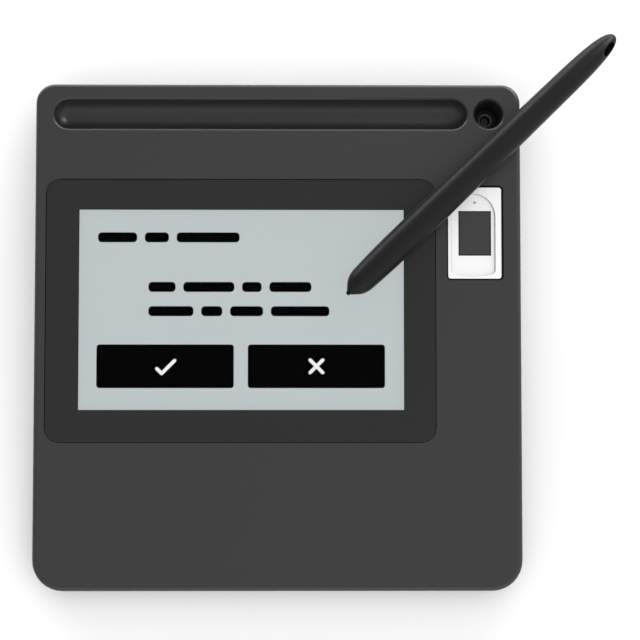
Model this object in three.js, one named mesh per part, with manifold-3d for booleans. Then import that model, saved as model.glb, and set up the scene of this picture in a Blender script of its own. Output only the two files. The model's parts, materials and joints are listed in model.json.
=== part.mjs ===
// Signature pad: a wedge-shaped desk unit with a 5 inch pen display, a finger reader, a pen tray
// and a pen well, and its battery-free pen lying across the face.
// Lengths are millimetres. +X is right, +Y runs to the rear and +Z is up. The origin is the centre
// of the base cover's flat underside. "Across" and "along" are measured in the sloped face, from
// its centre, and "below" is the depth under that face.
import * as THREE from "three";
import { mergeVertices } from "three/addons/utils/BufferGeometryUtils.js";
import Module from "manifold-3d";

const wasm = await Module();
wasm.setup();

// Gaps between pieces
const SEAT_GAP = 0.3; // pieces that seat on one another in the sloped face
const GLUE_LINE = 0.1; // pieces bonded to the level base
const SHANK_GAP = 0.12; // round a screw's shank
const OVERRUN = 3; // how far a cutting tool runs past the face it cuts

// Layout of the face
const FACE_SLOPE = THREE.MathUtils.degToRad(4);
const ACTIVE_WIDTH = 108.2; // the display's lit picture
const ACTIVE_LENGTH = 66.8;
const LENS_BORDER_SIDE = 10.575; // dark border of the lens round the picture
const LENS_BORDER_END = 10.25;
const LENS_CORNER = 4.6;
const LEFT_MARGIN = 3.95; // side of the body to the lens
const LENS_TO_READER = 4.36;
const READER_WIDTH = 17.94;
const READER_LENGTH = 30.7;
const READER_SETBACK = 2.45; // rear edge of the reader in front of the lens's rear edge
const RIGHT_MARGIN = 6.4; // side of the body to the reader
const PALM_REST = 48.95; // front edge of the body to the lens
const LENS_TO_TRAY = 17.15;
const TRAY_WIDTH = 10;
const TRAY_STRAIGHT_DEPTH = 0.8; // upright part of the tray's wall, above its round bottom
const TRAY_FROM_SIDE = 6;
const TRAY_FROM_REAR = 5.2;
const TRAY_TO_WELL = 2.4;
const TRAY_WALL = 1.5;
const WELL_FROM_SIDE = 10.56; // well's axis to the right side
const EDGE_CHAMFER = 0.55; // chamfer round the tray's and the well's mouth

// Housing
const FRONT_HEIGHT = 8.5;
const FRONT_CORNER = 10.1;
const REAR_CORNER = 6.3;
const TOP_ROUND = 1.5; // rounding of the edge round the face
const BASE_ROUND = 1.2; // rounding of the edge round the underside
const WALL = 2.2;
const ROOF = 2.6;
const FLOOR = 2;
const PARTING_GAP = 0.35;
const TONGUE_WALL = 1.2; // upstand of the base inside the top shell's wall
const TONGUE_HEIGHT = 1.8; // upstand above the parting line
const TONGUE_GAP = 0.25;
const TONGUE_TO_ROOF = 0.9; // at the front, where the housing is lowest
const RIB_THICKNESS = 1.2;
const RIB_HEIGHT = 1.4;
const PALM_RIBS = 5;
const BASE_RIB_HEIGHT = 0.9;
const BASE_RIBS = 4;

// Well for the pen's nose
const WELL_RADIUS = 4.8;
const WELL_FLOOR_RADIUS = 3.8;
const WELL_WALL = 1.2;
const WELL_TO_FLOOR = 0.8; // under the well's outside, to the base's floor
const NIB_POCKET_RIM = 2.25;
const NIB_POCKET_RADIUS = 1.65;
const NIB_POCKET_FLOOR_RADIUS = 1.2;
const NIB_POCKET_RIM_DEPTH = 0.6;
const NIB_POCKET_DEPTH = 2.2;

// Display stack
const LENS_THICKNESS = 1.1;
const LENS_SINK = 0.1; // lens below the face
const GASKET_THICKNESS = 0.3;
const GASKET_GAP = 0.06;
const ACTIVE_SHIFT_ACROSS = 0.18;
const ACTIVE_SHIFT_ALONG = 0.36;
const MODULE_BORDER_SIDE = 6.2; // picture to the display module's side
const MODULE_BORDER_END = 5.6;
const MODULE_THICKNESS = 3.1;
const MODULE_SHEET = 0.4; // steel of the module's frame
const CELL_THICKNESS = 1.2;
const SENSOR_BOARD_INSET = 1.5;
const SENSOR_BOARD_THICKNESS = 0.9;
const BRACKET_THICKNESS = 1;
const BRACKET_EAR_RADIUS = 3.6;
const BRACKET_EAR_INSET = 15.3; // ear's screw to the display module's side
const BRACKET_EAR_REACH = 6; // ear's screw beyond the display module
const BRACKET_BOSS_RADIUS = 2.4;
const BRACKET_SLOTS = 5;
const BRACKET_SLOT_WIDTH = 9;
const BRACKET_SLOT_MARGIN = 16; // slot's end to the plate's edge

// Finger reader
const READER_CORNER = 1;
const READER_RIM_SIDE = 1.45; // bezel round the finger's bed
const READER_RIM_REAR = 2.1;
const READER_RIM_FRONT = 1.05;
const READER_BED_DEPTH = 0.9;
const READER_BED_SLOPE = 0.4; // how far the bed's sides lean in
const READER_BED_CORNER = 1.6;
const READER_BED_BOW = 0.7; // sag of the bed's front edge
const READER_WINDOW_WIDTH = 10.2;
const READER_WINDOW_LENGTH = 14.3;
const READER_WINDOW_THICKNESS = 1.2;
const READER_WINDOW_GAP = 0.35;
const READER_WINDOW_LEDGE = 1.2; // seat under the window's edges
const READER_WINDOW_SHIFT = 0.05;
const READER_FLANGE = 1.6;
const READER_FLANGE_THICKNESS = 1.1;
const READER_HEIGHT = 5.4;
const READER_BOARD_THICKNESS = 0.8;
const READER_LIGHT_RADIUS = 0.3;
const READER_LIGHT_GAP = 0.1;
const READER_LIGHT_TO_WINDOW = 3.15;

// Fasteners and feet
const BOSS_RADIUS = 3;
const CUP_WALL = 1.2;
const CUP_HEIGHT = 4;
const SCREW_RADIUS = 1.25;
const SCREW_LENGTH = 4.4;
const SCREW_HEAD_RADIUS = 2.3;
const SCREW_HEAD_HEIGHT = 1.3;
const SCREW_SEAT_DEPTH = 2.2; // underside of the base to the screw head's seat
const SMALL_SCREW_RADIUS = 0.9;
const SMALL_SCREW_LENGTH = 3.4;
const SMALL_HEAD_RADIUS = 1.7;
const SMALL_HEAD_HEIGHT = 0.8;
const DRIVE_SLOT = 0.5; // width of the cross in a screw's head
const DRIVE_DEPTH_SHARE = 0.5;
const DRIVE_REACH_SHARE = 0.62;
const REAR_SCREW_FROM_SIDE = 8;
const REAR_SCREW_TO_LENS = 7.6;
const FOOT_RADIUS = 6;
const FOOT_THICKNESS = 2;
const FOOT_CHAMFER = 0.4;
const FOOT_RECESS = 0.8;
const FOOT_FROM_SIDE = 23;
const FOOT_FROM_END = 12.5;

// Main board and its port
const BOARD_WIDTH = 70;
const BOARD_LENGTH = 50;
const BOARD_THICKNESS = 1.6;
const BOARD_CORNER = 1.5;
const CONNECTOR_ROOM = 0.9; // over the display's connectors, to the bracket
const BOARD_TO_WALL = 0.6; // board's rear edge to the base's tongue
const BOARD_SCREW_INSET = 4;
const STANDOFF_RADIUS = 2.6;
const PORT_WIDTH = 8.94;
const PORT_HEIGHT = 3.26;
const PORT_LENGTH = 8.4;
const PORT_SHEET = 0.3;
const PORT_GAP = 0.3; // housing round the port
const PORT_SETBACK = 0.5; // port's mouth inside the rear face
const PORT_TAB_MARGIN = 3.4; // base's upright tab beyond the port
const PORT_TONGUE_WIDTH = 6.7;
const PORT_TONGUE_THICKNESS = 0.7;
const PORT_TONGUE_LENGTH = 5.2;
const PORT_BACK = 1.2;
const CONNECTOR_LENGTH = 4;
const CONNECTOR_HEIGHT = 2;
const CONNECTOR_MARGIN = 1.6; // connector beyond its ribbon's sides
const CONNECTOR_SETBACK = 9.4; // connector's middle in front of the display module's rear edge
const SOLDER_GAP = 0.05;
const RIBBON_THICKNESS = 0.3;
const RIBBON_GAP = 0.15;
const DISPLAY_RIBBON_WIDTH = 20;
const DISPLAY_RIBBON_ACROSS = -16;
const DISPLAY_RIBBON_REACH = 10;
const SENSOR_RIBBON_WIDTH = 12;
const SENSOR_RIBBON_ACROSS = 12;
const SENSOR_RIBBON_REACH = 8;
const READER_RIBBON_WIDTH = 6;
const READER_CONNECTOR_TO_SCREW = 2;
const CONTROLLER_SIZE = 10;
const CONTROLLER_HEIGHT = 1.1;
const CONTROLLER_ACROSS = 14;
const CONTROLLER_TO_CONNECTOR = 8;
const MEMORY_WIDTH = 8;
const MEMORY_LENGTH = 6;
const MEMORY_HEIGHT = 0.9;
const MEMORY_ACROSS = -14;

// Pen, measured from the nib's point along its axis
const PEN_LENGTH = 124.7;
const NIB_RADIUS = 0.75;
const NIB_REACH = 1; // nib out of the nose
const NIB_BORE_GAP = 0.12;
const NIB_STEM_RADIUS = 0.5;
const NOSE_RADIUS = 0.98; // rim of the nose round the nib
const NOSE_END = 8.7;
const NOSE_STEP = 0.42; // nose's widest radius under the grip's
const GRIP_START = 24;
const GRIP_RADIUS = 4.9;
const GRIP_END = 36.8;
const TAIL_START = 97;
const TAIL_TAPER = 0.55; // tail's radius under the grip's
const PEN_BORE_START = 9;
const PEN_SEAM = 0.12;
const SPIGOT_LENGTH = 7;
const SPIGOT_GAP = 0.12;
const CORE_RADIUS = 1.9;
const CORE_LENGTH = 21;
const CORE_BORE_GAP = 0.3;
const COIL_GAP = 0.12;
const COIL_THICKNESS = 0.88;
const COIL_LENGTH = 12;
const COIL_TO_BORE = 0.4;
const PRESS_SENSOR_LENGTH = 7;
const PRESS_SENSOR_BORE_DEPTH = 4;
const NIB_TRAVEL = 0.5;
const PEN_PART_GAP = 0.3;
const PEN_BOARD_WIDTH = 5.2;
const PEN_BOARD_THICKNESS = 1;
const TETHER_SLOT_LENGTH = 5.4;
const TETHER_SLOT_WIDTH = 2.5;
const TETHER_FROM_END = 5.2;
const TETHER_ROLL = THREE.MathUtils.degToRad(41); // slot's turn about the pen, from upright
const PEN_NIB_ACROSS_LENS = 35.1; // nib's place from the lens's centre
const PEN_NIB_ALONG_LENS = 4.9;
const PEN_HEADING = THREE.MathUtils.degToRad(44.1);
const PEN_REST_GAP = 0.2;

// Facet counts
const CORNER_STEPS = 8;
const ROUND_STEPS = 4;
const SMALL_CORNER_STEPS = 4;
const MOUTH_SEGMENTS = 32;
const FOOT_SEGMENTS = 24;
const SCREW_SEGMENTS = 12;
const PEN_SEGMENTS = 28;
const NOSE_STEPS = 10;
const GRIP_STEPS = 4;
const TAIL_STEPS = 10;
const TROUGH_STEPS = 7;
const RIBBON_STEPS = 10;

// Sizes that follow from the ones above
const LENS_WIDTH = ACTIVE_WIDTH + 2 * LENS_BORDER_SIDE;
const LENS_LENGTH = ACTIVE_LENGTH + 2 * LENS_BORDER_END;
const BODY_WIDTH = LEFT_MARGIN + LENS_WIDTH + LENS_TO_READER + READER_WIDTH + RIGHT_MARGIN;
const FACE_LENGTH = PALM_REST + LENS_LENGTH + LENS_TO_TRAY + TRAY_WIDTH + TRAY_FROM_REAR;
const BODY_LENGTH = FACE_LENGTH * Math.cos(FACE_SLOPE);
const SIDE = BODY_WIDTH / 2;
const END = BODY_LENGTH / 2;
const FACE_CENTRE_HEIGHT = FRONT_HEIGHT + END * Math.tan(FACE_SLOPE);
const faceHeight = (y) => FACE_CENTRE_HEIGHT + y * Math.tan(FACE_SLOPE);
const FACE_FRAME = new THREE.Matrix4().makeRotationX(FACE_SLOPE).setPosition(0, 0, FACE_CENTRE_HEIGHT);
const lens = {
  across: -SIDE + LEFT_MARGIN + LENS_WIDTH / 2,
  along: -FACE_LENGTH / 2 + PALM_REST + LENS_LENGTH / 2,
};
const picture = { across: lens.across + ACTIVE_SHIFT_ACROSS, along: lens.along + ACTIVE_SHIFT_ALONG };
const reader = {
  across: SIDE - RIGHT_MARGIN - READER_WIDTH / 2,
  along: lens.along + LENS_LENGTH / 2 - READER_SETBACK - READER_LENGTH / 2,
};
const trayAlong = FACE_LENGTH / 2 - TRAY_FROM_REAR - TRAY_WIDTH / 2;
const well = { across: SIDE - WELL_FROM_SIDE, along: trayAlong };
const trayEnds = [
  -SIDE + TRAY_FROM_SIDE + TRAY_WIDTH / 2,
  well.across - WELL_RADIUS - TRAY_TO_WELL - TRAY_WIDTH / 2,
];
const MODULE_WIDTH = ACTIVE_WIDTH + 2 * MODULE_BORDER_SIDE;
const MODULE_LENGTH = ACTIVE_LENGTH + 2 * MODULE_BORDER_END;
const LENS_BACK = LENS_SINK + LENS_THICKNESS;
const MODULE_TOP = LENS_BACK + GASKET_THICKNESS + 2 * GASKET_GAP;
const SENSOR_TOP = MODULE_TOP + MODULE_THICKNESS + SEAT_GAP;
const BRACKET_TOP = SENSOR_TOP + SENSOR_BOARD_THICKNESS + SEAT_GAP;
const BRACKET_BACK = BRACKET_TOP + BRACKET_THICKNESS;
const PARTING_HEIGHT = FRONT_HEIGHT - ROOF - TONGUE_TO_ROOF - TONGUE_HEIGHT;
const CUP_RADIUS = SCREW_HEAD_RADIUS + SEAT_GAP + CUP_WALL;
const TONGUE_INSET = WALL + TONGUE_GAP;
const TONGUE_INNER_INSET = TONGUE_INSET + TONGUE_WALL;
const BOARD_REAR = END - TONGUE_INNER_INSET - BOARD_TO_WALL;
const BOARD_FRONT = BOARD_REAR - BOARD_LENGTH;
const MODULE_REAR = (lens.along + MODULE_LENGTH / 2) * Math.cos(FACE_SLOPE);
const CONNECTOR_MIDDLE = MODULE_REAR - CONNECTOR_SETBACK;
const bracketUnder =
  faceHeight(CONNECTOR_MIDDLE - CONNECTOR_LENGTH / 2) - BRACKET_BACK / Math.cos(FACE_SLOPE);
const BOARD_TOP = bracketUnder - CONNECTOR_ROOM - CONNECTOR_HEIGHT - SOLDER_GAP;
const BOARD_UNDER = BOARD_TOP - BOARD_THICKNESS - GLUE_LINE;
const PORT_CENTRE_HEIGHT = BOARD_TOP + SOLDER_GAP + PORT_HEIGHT / 2;
const PORT_TAB_WIDTH = PORT_WIDTH + 2 * PORT_TAB_MARGIN;
const wellLowest =
  FACE_CENTRE_HEIGHT + (well.along - WELL_FLOOR_RADIUS - WELL_WALL) * Math.sin(FACE_SLOPE);
const WELL_BOTTOM = (wellLowest - FLOOR - WELL_TO_FLOOR) / Math.cos(FACE_SLOPE);
const WELL_DEPTH = WELL_BOTTOM - NIB_POCKET_DEPTH - WELL_WALL;
const NOSE_END_RADIUS = GRIP_RADIUS - NOSE_STEP;
const TAIL_RADIUS = GRIP_RADIUS - TAIL_TAPER;
const COIL_RADIUS = CORE_RADIUS + COIL_GAP + COIL_THICKNESS;
const PEN_BORE_RADIUS = COIL_RADIUS + COIL_TO_BORE;
const PRESS_SENSOR_RADIUS = PEN_BORE_RADIUS - PEN_PART_GAP;

const paint = (color, roughness, metalness = 0) =>
  new THREE.MeshStandardMaterial({ color, roughness, metalness });
const shellPlastic = paint(0x3b3b3c, 0.62);
const basePlastic = paint(0x343435, 0.7);
const penPlastic = paint(0x2b2b2c, 0.55);
const nibPlastic = paint(0x161616, 0.5);
const lensGlass = paint(0x323233, 0.18);
const pictureGlass = paint(0xbdc5c7, 0.35);
const blackFoam = paint(0x181818, 0.9);
const whitePlastic = paint(0xf4f5f5, 0.3);
const sensorGlass = paint(0x424242, 0.35);
const rubber = paint(0x1c1c1c, 0.95);
const steel = paint(0xb9bcc0, 0.35, 1);
const zincSteel = paint(0x8f9296, 0.4, 1);
const boardGreen = paint(0x1f5a38, 0.5);
const chipBlack = paint(0x1a1a1c, 0.5);
const connectorCream = paint(0xd9d2bf, 0.5);
const ribbonAmber = paint(0xb56a1c, 0.4);
const ferrite = paint(0x3a3836, 0.7);
const copper = paint(0xb87333, 0.35, 1);

// A closed geometry as a solid, with shared vertices merged and flat triangles dropped.
function solid(geometry) {
  const bare = geometry.clone();
  bare.deleteAttribute("normal");
  bare.deleteAttribute("uv");
  const merged = mergeVertices(bare, 1e-4);
  const kept = [];
  for (let i = 0; i < merged.index.count; i += 3) {
    const [a, b, c] = [merged.index.getX(i), merged.index.getX(i + 1), merged.index.getX(i + 2)];
    if (a !== b && b !== c && a !== c) kept.push(a, b, c);
  }
  return new wasm.Manifold(
    new wasm.Mesh({
      numProp: 3,
      vertProperties: new Float32Array(merged.getAttribute("position").array),
      triVerts: new Uint32Array(kept),
    }),
  );
}

const join = (first, ...others) => others.reduce((all, one) => all.add(one), first);
const cut = (first, ...tools) => tools.reduce((left, tool) => left.subtract(tool), first);

// A solid as a mesh geometry with flat faces.
function geometryOf(manifold) {
  const mesh = manifold.getMesh();
  const positions = new Float32Array(mesh.numVert * 3);
  for (let i = 0; i < mesh.numVert; i += 1) {
    positions.set(mesh.vertProperties.subarray(i * mesh.numProp, i * mesh.numProp + 3), i * 3);
  }
  const indexed = new THREE.BufferGeometry();
  indexed.setAttribute("position", new THREE.BufferAttribute(positions, 3));
  indexed.setIndex(new THREE.BufferAttribute(new Uint32Array(mesh.triVerts), 1));
  const flat = indexed.toNonIndexed();
  flat.computeVertexNormals();
  return flat;
}

function piece(name, shape, material) {
  const mesh = new THREE.Mesh(shape.isBufferGeometry ? shape : geometryOf(shape), material);
  mesh.name = name;
  return mesh;
}

// The points of a rectangle with round corners, anticlockwise from its front right corner.
function roundedPoints(width, length, frontRadius, rearRadius, steps) {
  const points = [];
  const corners = [
    [1, -1, frontRadius, -Math.PI / 2],
    [1, 1, rearRadius, 0],
    [-1, 1, rearRadius, Math.PI / 2],
    [-1, -1, frontRadius, Math.PI],
  ];
  for (const [right, rear, radius, start] of corners) {
    const centreX = right * (width / 2 - radius);
    const centreY = rear * (length / 2 - radius);
    for (let i = 0; i <= steps; i += 1) {
      const angle = start + ((Math.PI / 2) * i) / steps;
      points.push(
        new THREE.Vector2(centreX + radius * Math.cos(angle), centreY + radius * Math.sin(angle)),
      );
    }
  }
  return points;
}

// A straight slot's outline with round ends between two points on the X axis.
function stadiumPoints(left, right, radius, steps) {
  const points = [];
  for (const [centre, start] of [
    [right, -Math.PI / 2],
    [left, Math.PI / 2],
  ]) {
    for (let i = 0; i <= steps; i += 1) {
      const angle = start + (Math.PI * i) / steps;
      points.push(new THREE.Vector2(centre + radius * Math.cos(angle), radius * Math.sin(angle)));
    }
  }
  return points;
}

// A closed skin through rings of equal point count, the first ring lowest, capped at both ends.
function loft(rings) {
  const count = rings[0].length;
  const positions = rings.flat().flatMap((point) => [point.x, point.y, point.z]);
  const index = [];
  for (let level = 0; level + 1 < rings.length; level += 1) {
    for (let i = 0; i < count; i += 1) {
      const next = (i + 1) % count;
      const [a, b] = [level * count + i, level * count + next];
      index.push(a, b, b + count, a, b + count, a + count);
    }
  }
  const top = (rings.length - 1) * count;
  for (const [a, b, c] of THREE.ShapeUtils.triangulateShape(rings[0], [])) index.push(a, c, b);
  for (const [a, b, c] of THREE.ShapeUtils.triangulateShape(rings.at(-1), [])) {
    index.push(top + a, top + b, top + c);
  }
  const skin = new THREE.BufferGeometry();
  skin.setAttribute("position", new THREE.BufferAttribute(new Float32Array(positions), 3));
  skin.setIndex(index);
  return solid(skin);
}

const ringAt = (points, height) =>
  points.map((point) => new THREE.Vector3(point.x, point.y, height(point.y)));

// A straight prism of an outline between two heights, moved across and along.
function prism(points, low, high, across = 0, along = 0) {
  const geometry = new THREE.ExtrudeGeometry(new THREE.Shape(points), {
    depth: high - low,
    bevelEnabled: false,
  });
  return solid(geometry.translate(across, along, low));
}

const block = (width, length, low, high, across = 0, along = 0) =>
  solid(new THREE.BoxGeometry(width, length, high - low).translate(across, along, (low + high) / 2));

// A turned solid about Z from [radius, height] points that start and end on the axis.
function turned(profile, segments, across = 0, along = 0) {
  const points = profile.map(([radius, height]) => new THREE.Vector2(radius, height));
  const geometry = new THREE.LatheGeometry(points, segments);
  return solid(geometry.rotateX(Math.PI / 2).translate(across, along, 0));
}

const rod = (radius, low, high, segments, across = 0, along = 0) =>
  turned(
    [
      [0, low],
      [radius, low],
      [radius, high],
      [0, high],
    ],
    segments,
    across,
    along,
  );

const inFace = (shape) => shape.transform(FACE_FRAME.elements);

// Plan outline of the body, drawn in by an inset.
const bodyPoints = (inset) =>
  roundedPoints(
    BODY_WIDTH - 2 * inset,
    BODY_LENGTH - 2 * inset,
    FRONT_CORNER - inset,
    REAR_CORNER - inset,
    CORNER_STEPS,
  );

// Case screws stand at the centres of the front corners, midway along the front, and behind the lens.
const rearScrewY =
  (lens.along + LENS_LENGTH / 2 + REAR_SCREW_TO_LENS) * Math.cos(FACE_SLOPE);
const frontScrewY = -END + FRONT_CORNER;
const caseScrews = {
  front_left: [-SIDE + FRONT_CORNER, frontScrewY],
  front_middle: [0, frontScrewY],
  front_right: [SIDE - FRONT_CORNER, frontScrewY],
  rear_left: [-SIDE + REAR_SCREW_FROM_SIDE, rearScrewY],
  rear_right: [SIDE - REAR_SCREW_FROM_SIDE, rearScrewY],
};
const feet = {
  front_left: [-SIDE + FOOT_FROM_SIDE, -END + FOOT_FROM_END],
  front_right: [SIDE - FOOT_FROM_SIDE, -END + FOOT_FROM_END],
  rear_left: [-SIDE + FOOT_FROM_SIDE, END - FOOT_FROM_END],
  rear_right: [SIDE - FOOT_FROM_SIDE, END - FOOT_FROM_END],
};
const earAlong = MODULE_LENGTH / 2 + BRACKET_EAR_REACH;
const earAcross = MODULE_WIDTH / 2 - BRACKET_EAR_INSET;
const bracketScrews = {
  front_left: [lens.across - earAcross, lens.along - earAlong],
  front_right: [lens.across + earAcross, lens.along - earAlong],
  rear_left: [lens.across - earAcross, lens.along + earAlong],
  rear_right: [lens.across + earAcross, lens.along + earAlong],
};
const boardMiddle = (BOARD_FRONT + BOARD_REAR) / 2;
const boardScrewX = BOARD_WIDTH / 2 - BOARD_SCREW_INSET;
const boardScrewY = BOARD_LENGTH / 2 - BOARD_SCREW_INSET;
const boardScrews = {
  front_left: [-boardScrewX, boardMiddle - boardScrewY],
  front_right: [boardScrewX, boardMiddle - boardScrewY],
  rear_left: [-boardScrewX, boardMiddle + boardScrewY],
  rear_right: [boardScrewX, boardMiddle + boardScrewY],
};

// The port's opening through the rear wall, a slot with round ends that lies along Y.
function portTool(gap, from, to) {
  const radius = PORT_HEIGHT / 2 + gap;
  const half = PORT_WIDTH / 2 - PORT_HEIGHT / 2;
  const slot = new THREE.ExtrudeGeometry(
    new THREE.Shape(stadiumPoints(-half, half, radius, CORNER_STEPS)),
    { depth: to - from, bevelEnabled: false },
  );
  return solid(slot.rotateX(Math.PI / 2).translate(0, to, PORT_CENTRE_HEIGHT));
}

// The pen tray: a slot with round ends whose bottom is half round, from the floor up.
function trayTool(radius, chamfer, rise) {
  const rings = [];
  for (let i = 1; i <= TROUGH_STEPS; i += 1) {
    const angle = ((Math.PI / 2) * i) / TROUGH_STEPS;
    const outline = stadiumPoints(...trayEnds, radius * Math.sin(angle), CORNER_STEPS);
    rings.push(ringAt(outline, () => -TRAY_STRAIGHT_DEPTH - radius * Math.cos(angle)));
  }
  const rim = stadiumPoints(...trayEnds, radius + chamfer, CORNER_STEPS);
  if (chamfer > 0) {
    rings.push(ringAt(stadiumPoints(...trayEnds, radius, CORNER_STEPS), () => -chamfer));
    rings.push(ringAt(rim, () => 0));
  }
  rings.push(ringAt(rim, () => rise));
  return loft(rings).translate([0, trayAlong, 0]);
}

const wellProfile = [
  [0, -WELL_DEPTH - NIB_POCKET_DEPTH],
  [NIB_POCKET_FLOOR_RADIUS, -WELL_DEPTH - NIB_POCKET_DEPTH],
  [NIB_POCKET_RADIUS, -WELL_DEPTH - NIB_POCKET_RIM_DEPTH],
  [NIB_POCKET_RIM, -WELL_DEPTH],
  [WELL_FLOOR_RADIUS, -WELL_DEPTH],
  [WELL_RADIUS, -EDGE_CHAMFER],
  [WELL_RADIUS + EDGE_CHAMFER, 0],
  [WELL_RADIUS + EDGE_CHAMFER, OVERRUN],
  [0, OVERRUN],
];

// The well's outside, grown by a gap.
const wellOuter = (gap) =>
  inFace(
    turned(
      [
        [0, -WELL_BOTTOM - gap],
        [WELL_FLOOR_RADIUS + WELL_WALL + gap, -WELL_BOTTOM - gap],
        [WELL_RADIUS + WELL_WALL + gap, 0],
        [0, 0],
      ],
      MOUTH_SEGMENTS,
      well.across,
      well.along,
    ),
  );

// The moulded top: face, side walls, tray, well, lens pocket, screw bosses and ribs in one piece.
function topShell() {
  const rounding = [];
  for (let i = 0; i <= ROUND_STEPS; i += 1) {
    const angle = ((Math.PI / 2) * i) / ROUND_STEPS;
    const drop = TOP_ROUND * (1 - Math.sin(angle));
    const inset = TOP_ROUND * (1 - Math.cos(angle));
    rounding.push(ringAt(bodyPoints(inset), (y) => faceHeight(y) - drop));
  }
  const outside = loft([ringAt(bodyPoints(0), () => PARTING_HEIGHT), ...rounding]);
  const cavity = loft([
    ringAt(bodyPoints(WALL), () => PARTING_HEIGHT - OVERRUN),
    ringAt(bodyPoints(WALL), (y) => faceHeight(y) - ROOF),
  ]);

  const inside = [inFace(trayTool(TRAY_WIDTH / 2 + TRAY_WALL, 0, 0))];
  for (const [x, y] of Object.values(caseScrews)) {
    inside.push(rod(BOSS_RADIUS, CUP_HEIGHT + SEAT_GAP, faceHeight(y), SCREW_SEGMENTS, x, y));
  }
  for (const [across, along] of Object.values(bracketScrews)) {
    const low = -BRACKET_TOP + GLUE_LINE;
    inside.push(inFace(rod(BRACKET_BOSS_RADIUS, low, 0, SCREW_SEGMENTS, across, along)));
  }
  const palmFront = -FACE_LENGTH / 2 + TONGUE_INNER_INSET + SEAT_GAP;
  const palmRear = lens.along - earAlong - BRACKET_EAR_RADIUS - SEAT_GAP;
  for (let i = 1; i <= PALM_RIBS; i += 1) {
    const across = -SIDE + (BODY_WIDTH * i) / (PALM_RIBS + 1);
    const rib = block(
      RIB_THICKNESS,
      palmRear - palmFront,
      -ROOF - RIB_HEIGHT,
      -ROOF / 2,
      across,
      (palmFront + palmRear) / 2,
    );
    inside.push(inFace(rib));
  }
  inside.push(
    inFace(
      block(
        BODY_WIDTH - 2 * WALL,
        RIB_THICKNESS,
        -ROOF - RIB_HEIGHT,
        -ROOF / 2,
        0,
        (palmFront + palmRear) / 2,
      ),
    ),
  );

  const pocketCorner = LENS_CORNER + SEAT_GAP;
  const lensPocket = prism(
    roundedPoints(
      LENS_WIDTH + 2 * SEAT_GAP,
      LENS_LENGTH + 2 * SEAT_GAP,
      pocketCorner,
      pocketCorner,
      SMALL_CORNER_STEPS,
    ),
    -LENS_BACK - GASKET_THICKNESS - 2 * GASKET_GAP,
    OVERRUN,
    lens.across,
    lens.along,
  );
  const displayWindow = block(
    MODULE_WIDTH + 2 * SEAT_GAP,
    MODULE_LENGTH + 2 * SEAT_GAP,
    -BRACKET_BACK,
    0,
    lens.across,
    lens.along,
  );
  const readerCorner = READER_CORNER + SEAT_GAP;
  const readerHole = prism(
    roundedPoints(
      READER_WIDTH + 2 * SEAT_GAP,
      READER_LENGTH + 2 * SEAT_GAP,
      readerCorner,
      readerCorner,
      SMALL_CORNER_STEPS,
    ),
    -ROOF - OVERRUN,
    OVERRUN,
    reader.across,
    reader.along,
  );
  const tools = [
    inFace(trayTool(TRAY_WIDTH / 2, EDGE_CHAMFER, OVERRUN)),
    inFace(turned(wellProfile, MOUTH_SEGMENTS, well.across, well.along)),
    inFace(lensPocket),
    inFace(displayWindow),
    inFace(readerHole),
    portTool(PORT_GAP, END - WALL - OVERRUN, END + OVERRUN),
    block(
      PORT_TAB_WIDTH + 2 * PARTING_GAP,
      WALL + 2 * OVERRUN,
      PARTING_HEIGHT - OVERRUN,
      PORT_CENTRE_HEIGHT,
      0,
      END,
    ),
  ];
  const pilotTop = SCREW_SEAT_DEPTH + SCREW_LENGTH + SEAT_GAP;
  for (const [x, y] of Object.values(caseScrews)) {
    tools.push(rod(SCREW_RADIUS + SHANK_GAP, 0, pilotTop, SCREW_SEGMENTS, x, y));
    tools.push(rod(CUP_RADIUS + SEAT_GAP, 0, CUP_HEIGHT + SEAT_GAP, SCREW_SEGMENTS, x, y));
  }
  const smallPilot = SMALL_SCREW_LENGTH - BRACKET_THICKNESS + SEAT_GAP;
  for (const [across, along] of Object.values(bracketScrews)) {
    const pilot = rod(
      SMALL_SCREW_RADIUS + SHANK_GAP,
      -BRACKET_BACK,
      -BRACKET_TOP + smallPilot,
      SCREW_SEGMENTS,
      across,
      along,
    );
    tools.push(inFace(pilot));
  }
  const withinWalls = inside.map((shape) => shape.intersect(outside));
  return cut(join(cut(outside, cavity), wellOuter(0), ...withinWalls), ...tools);
}

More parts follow.
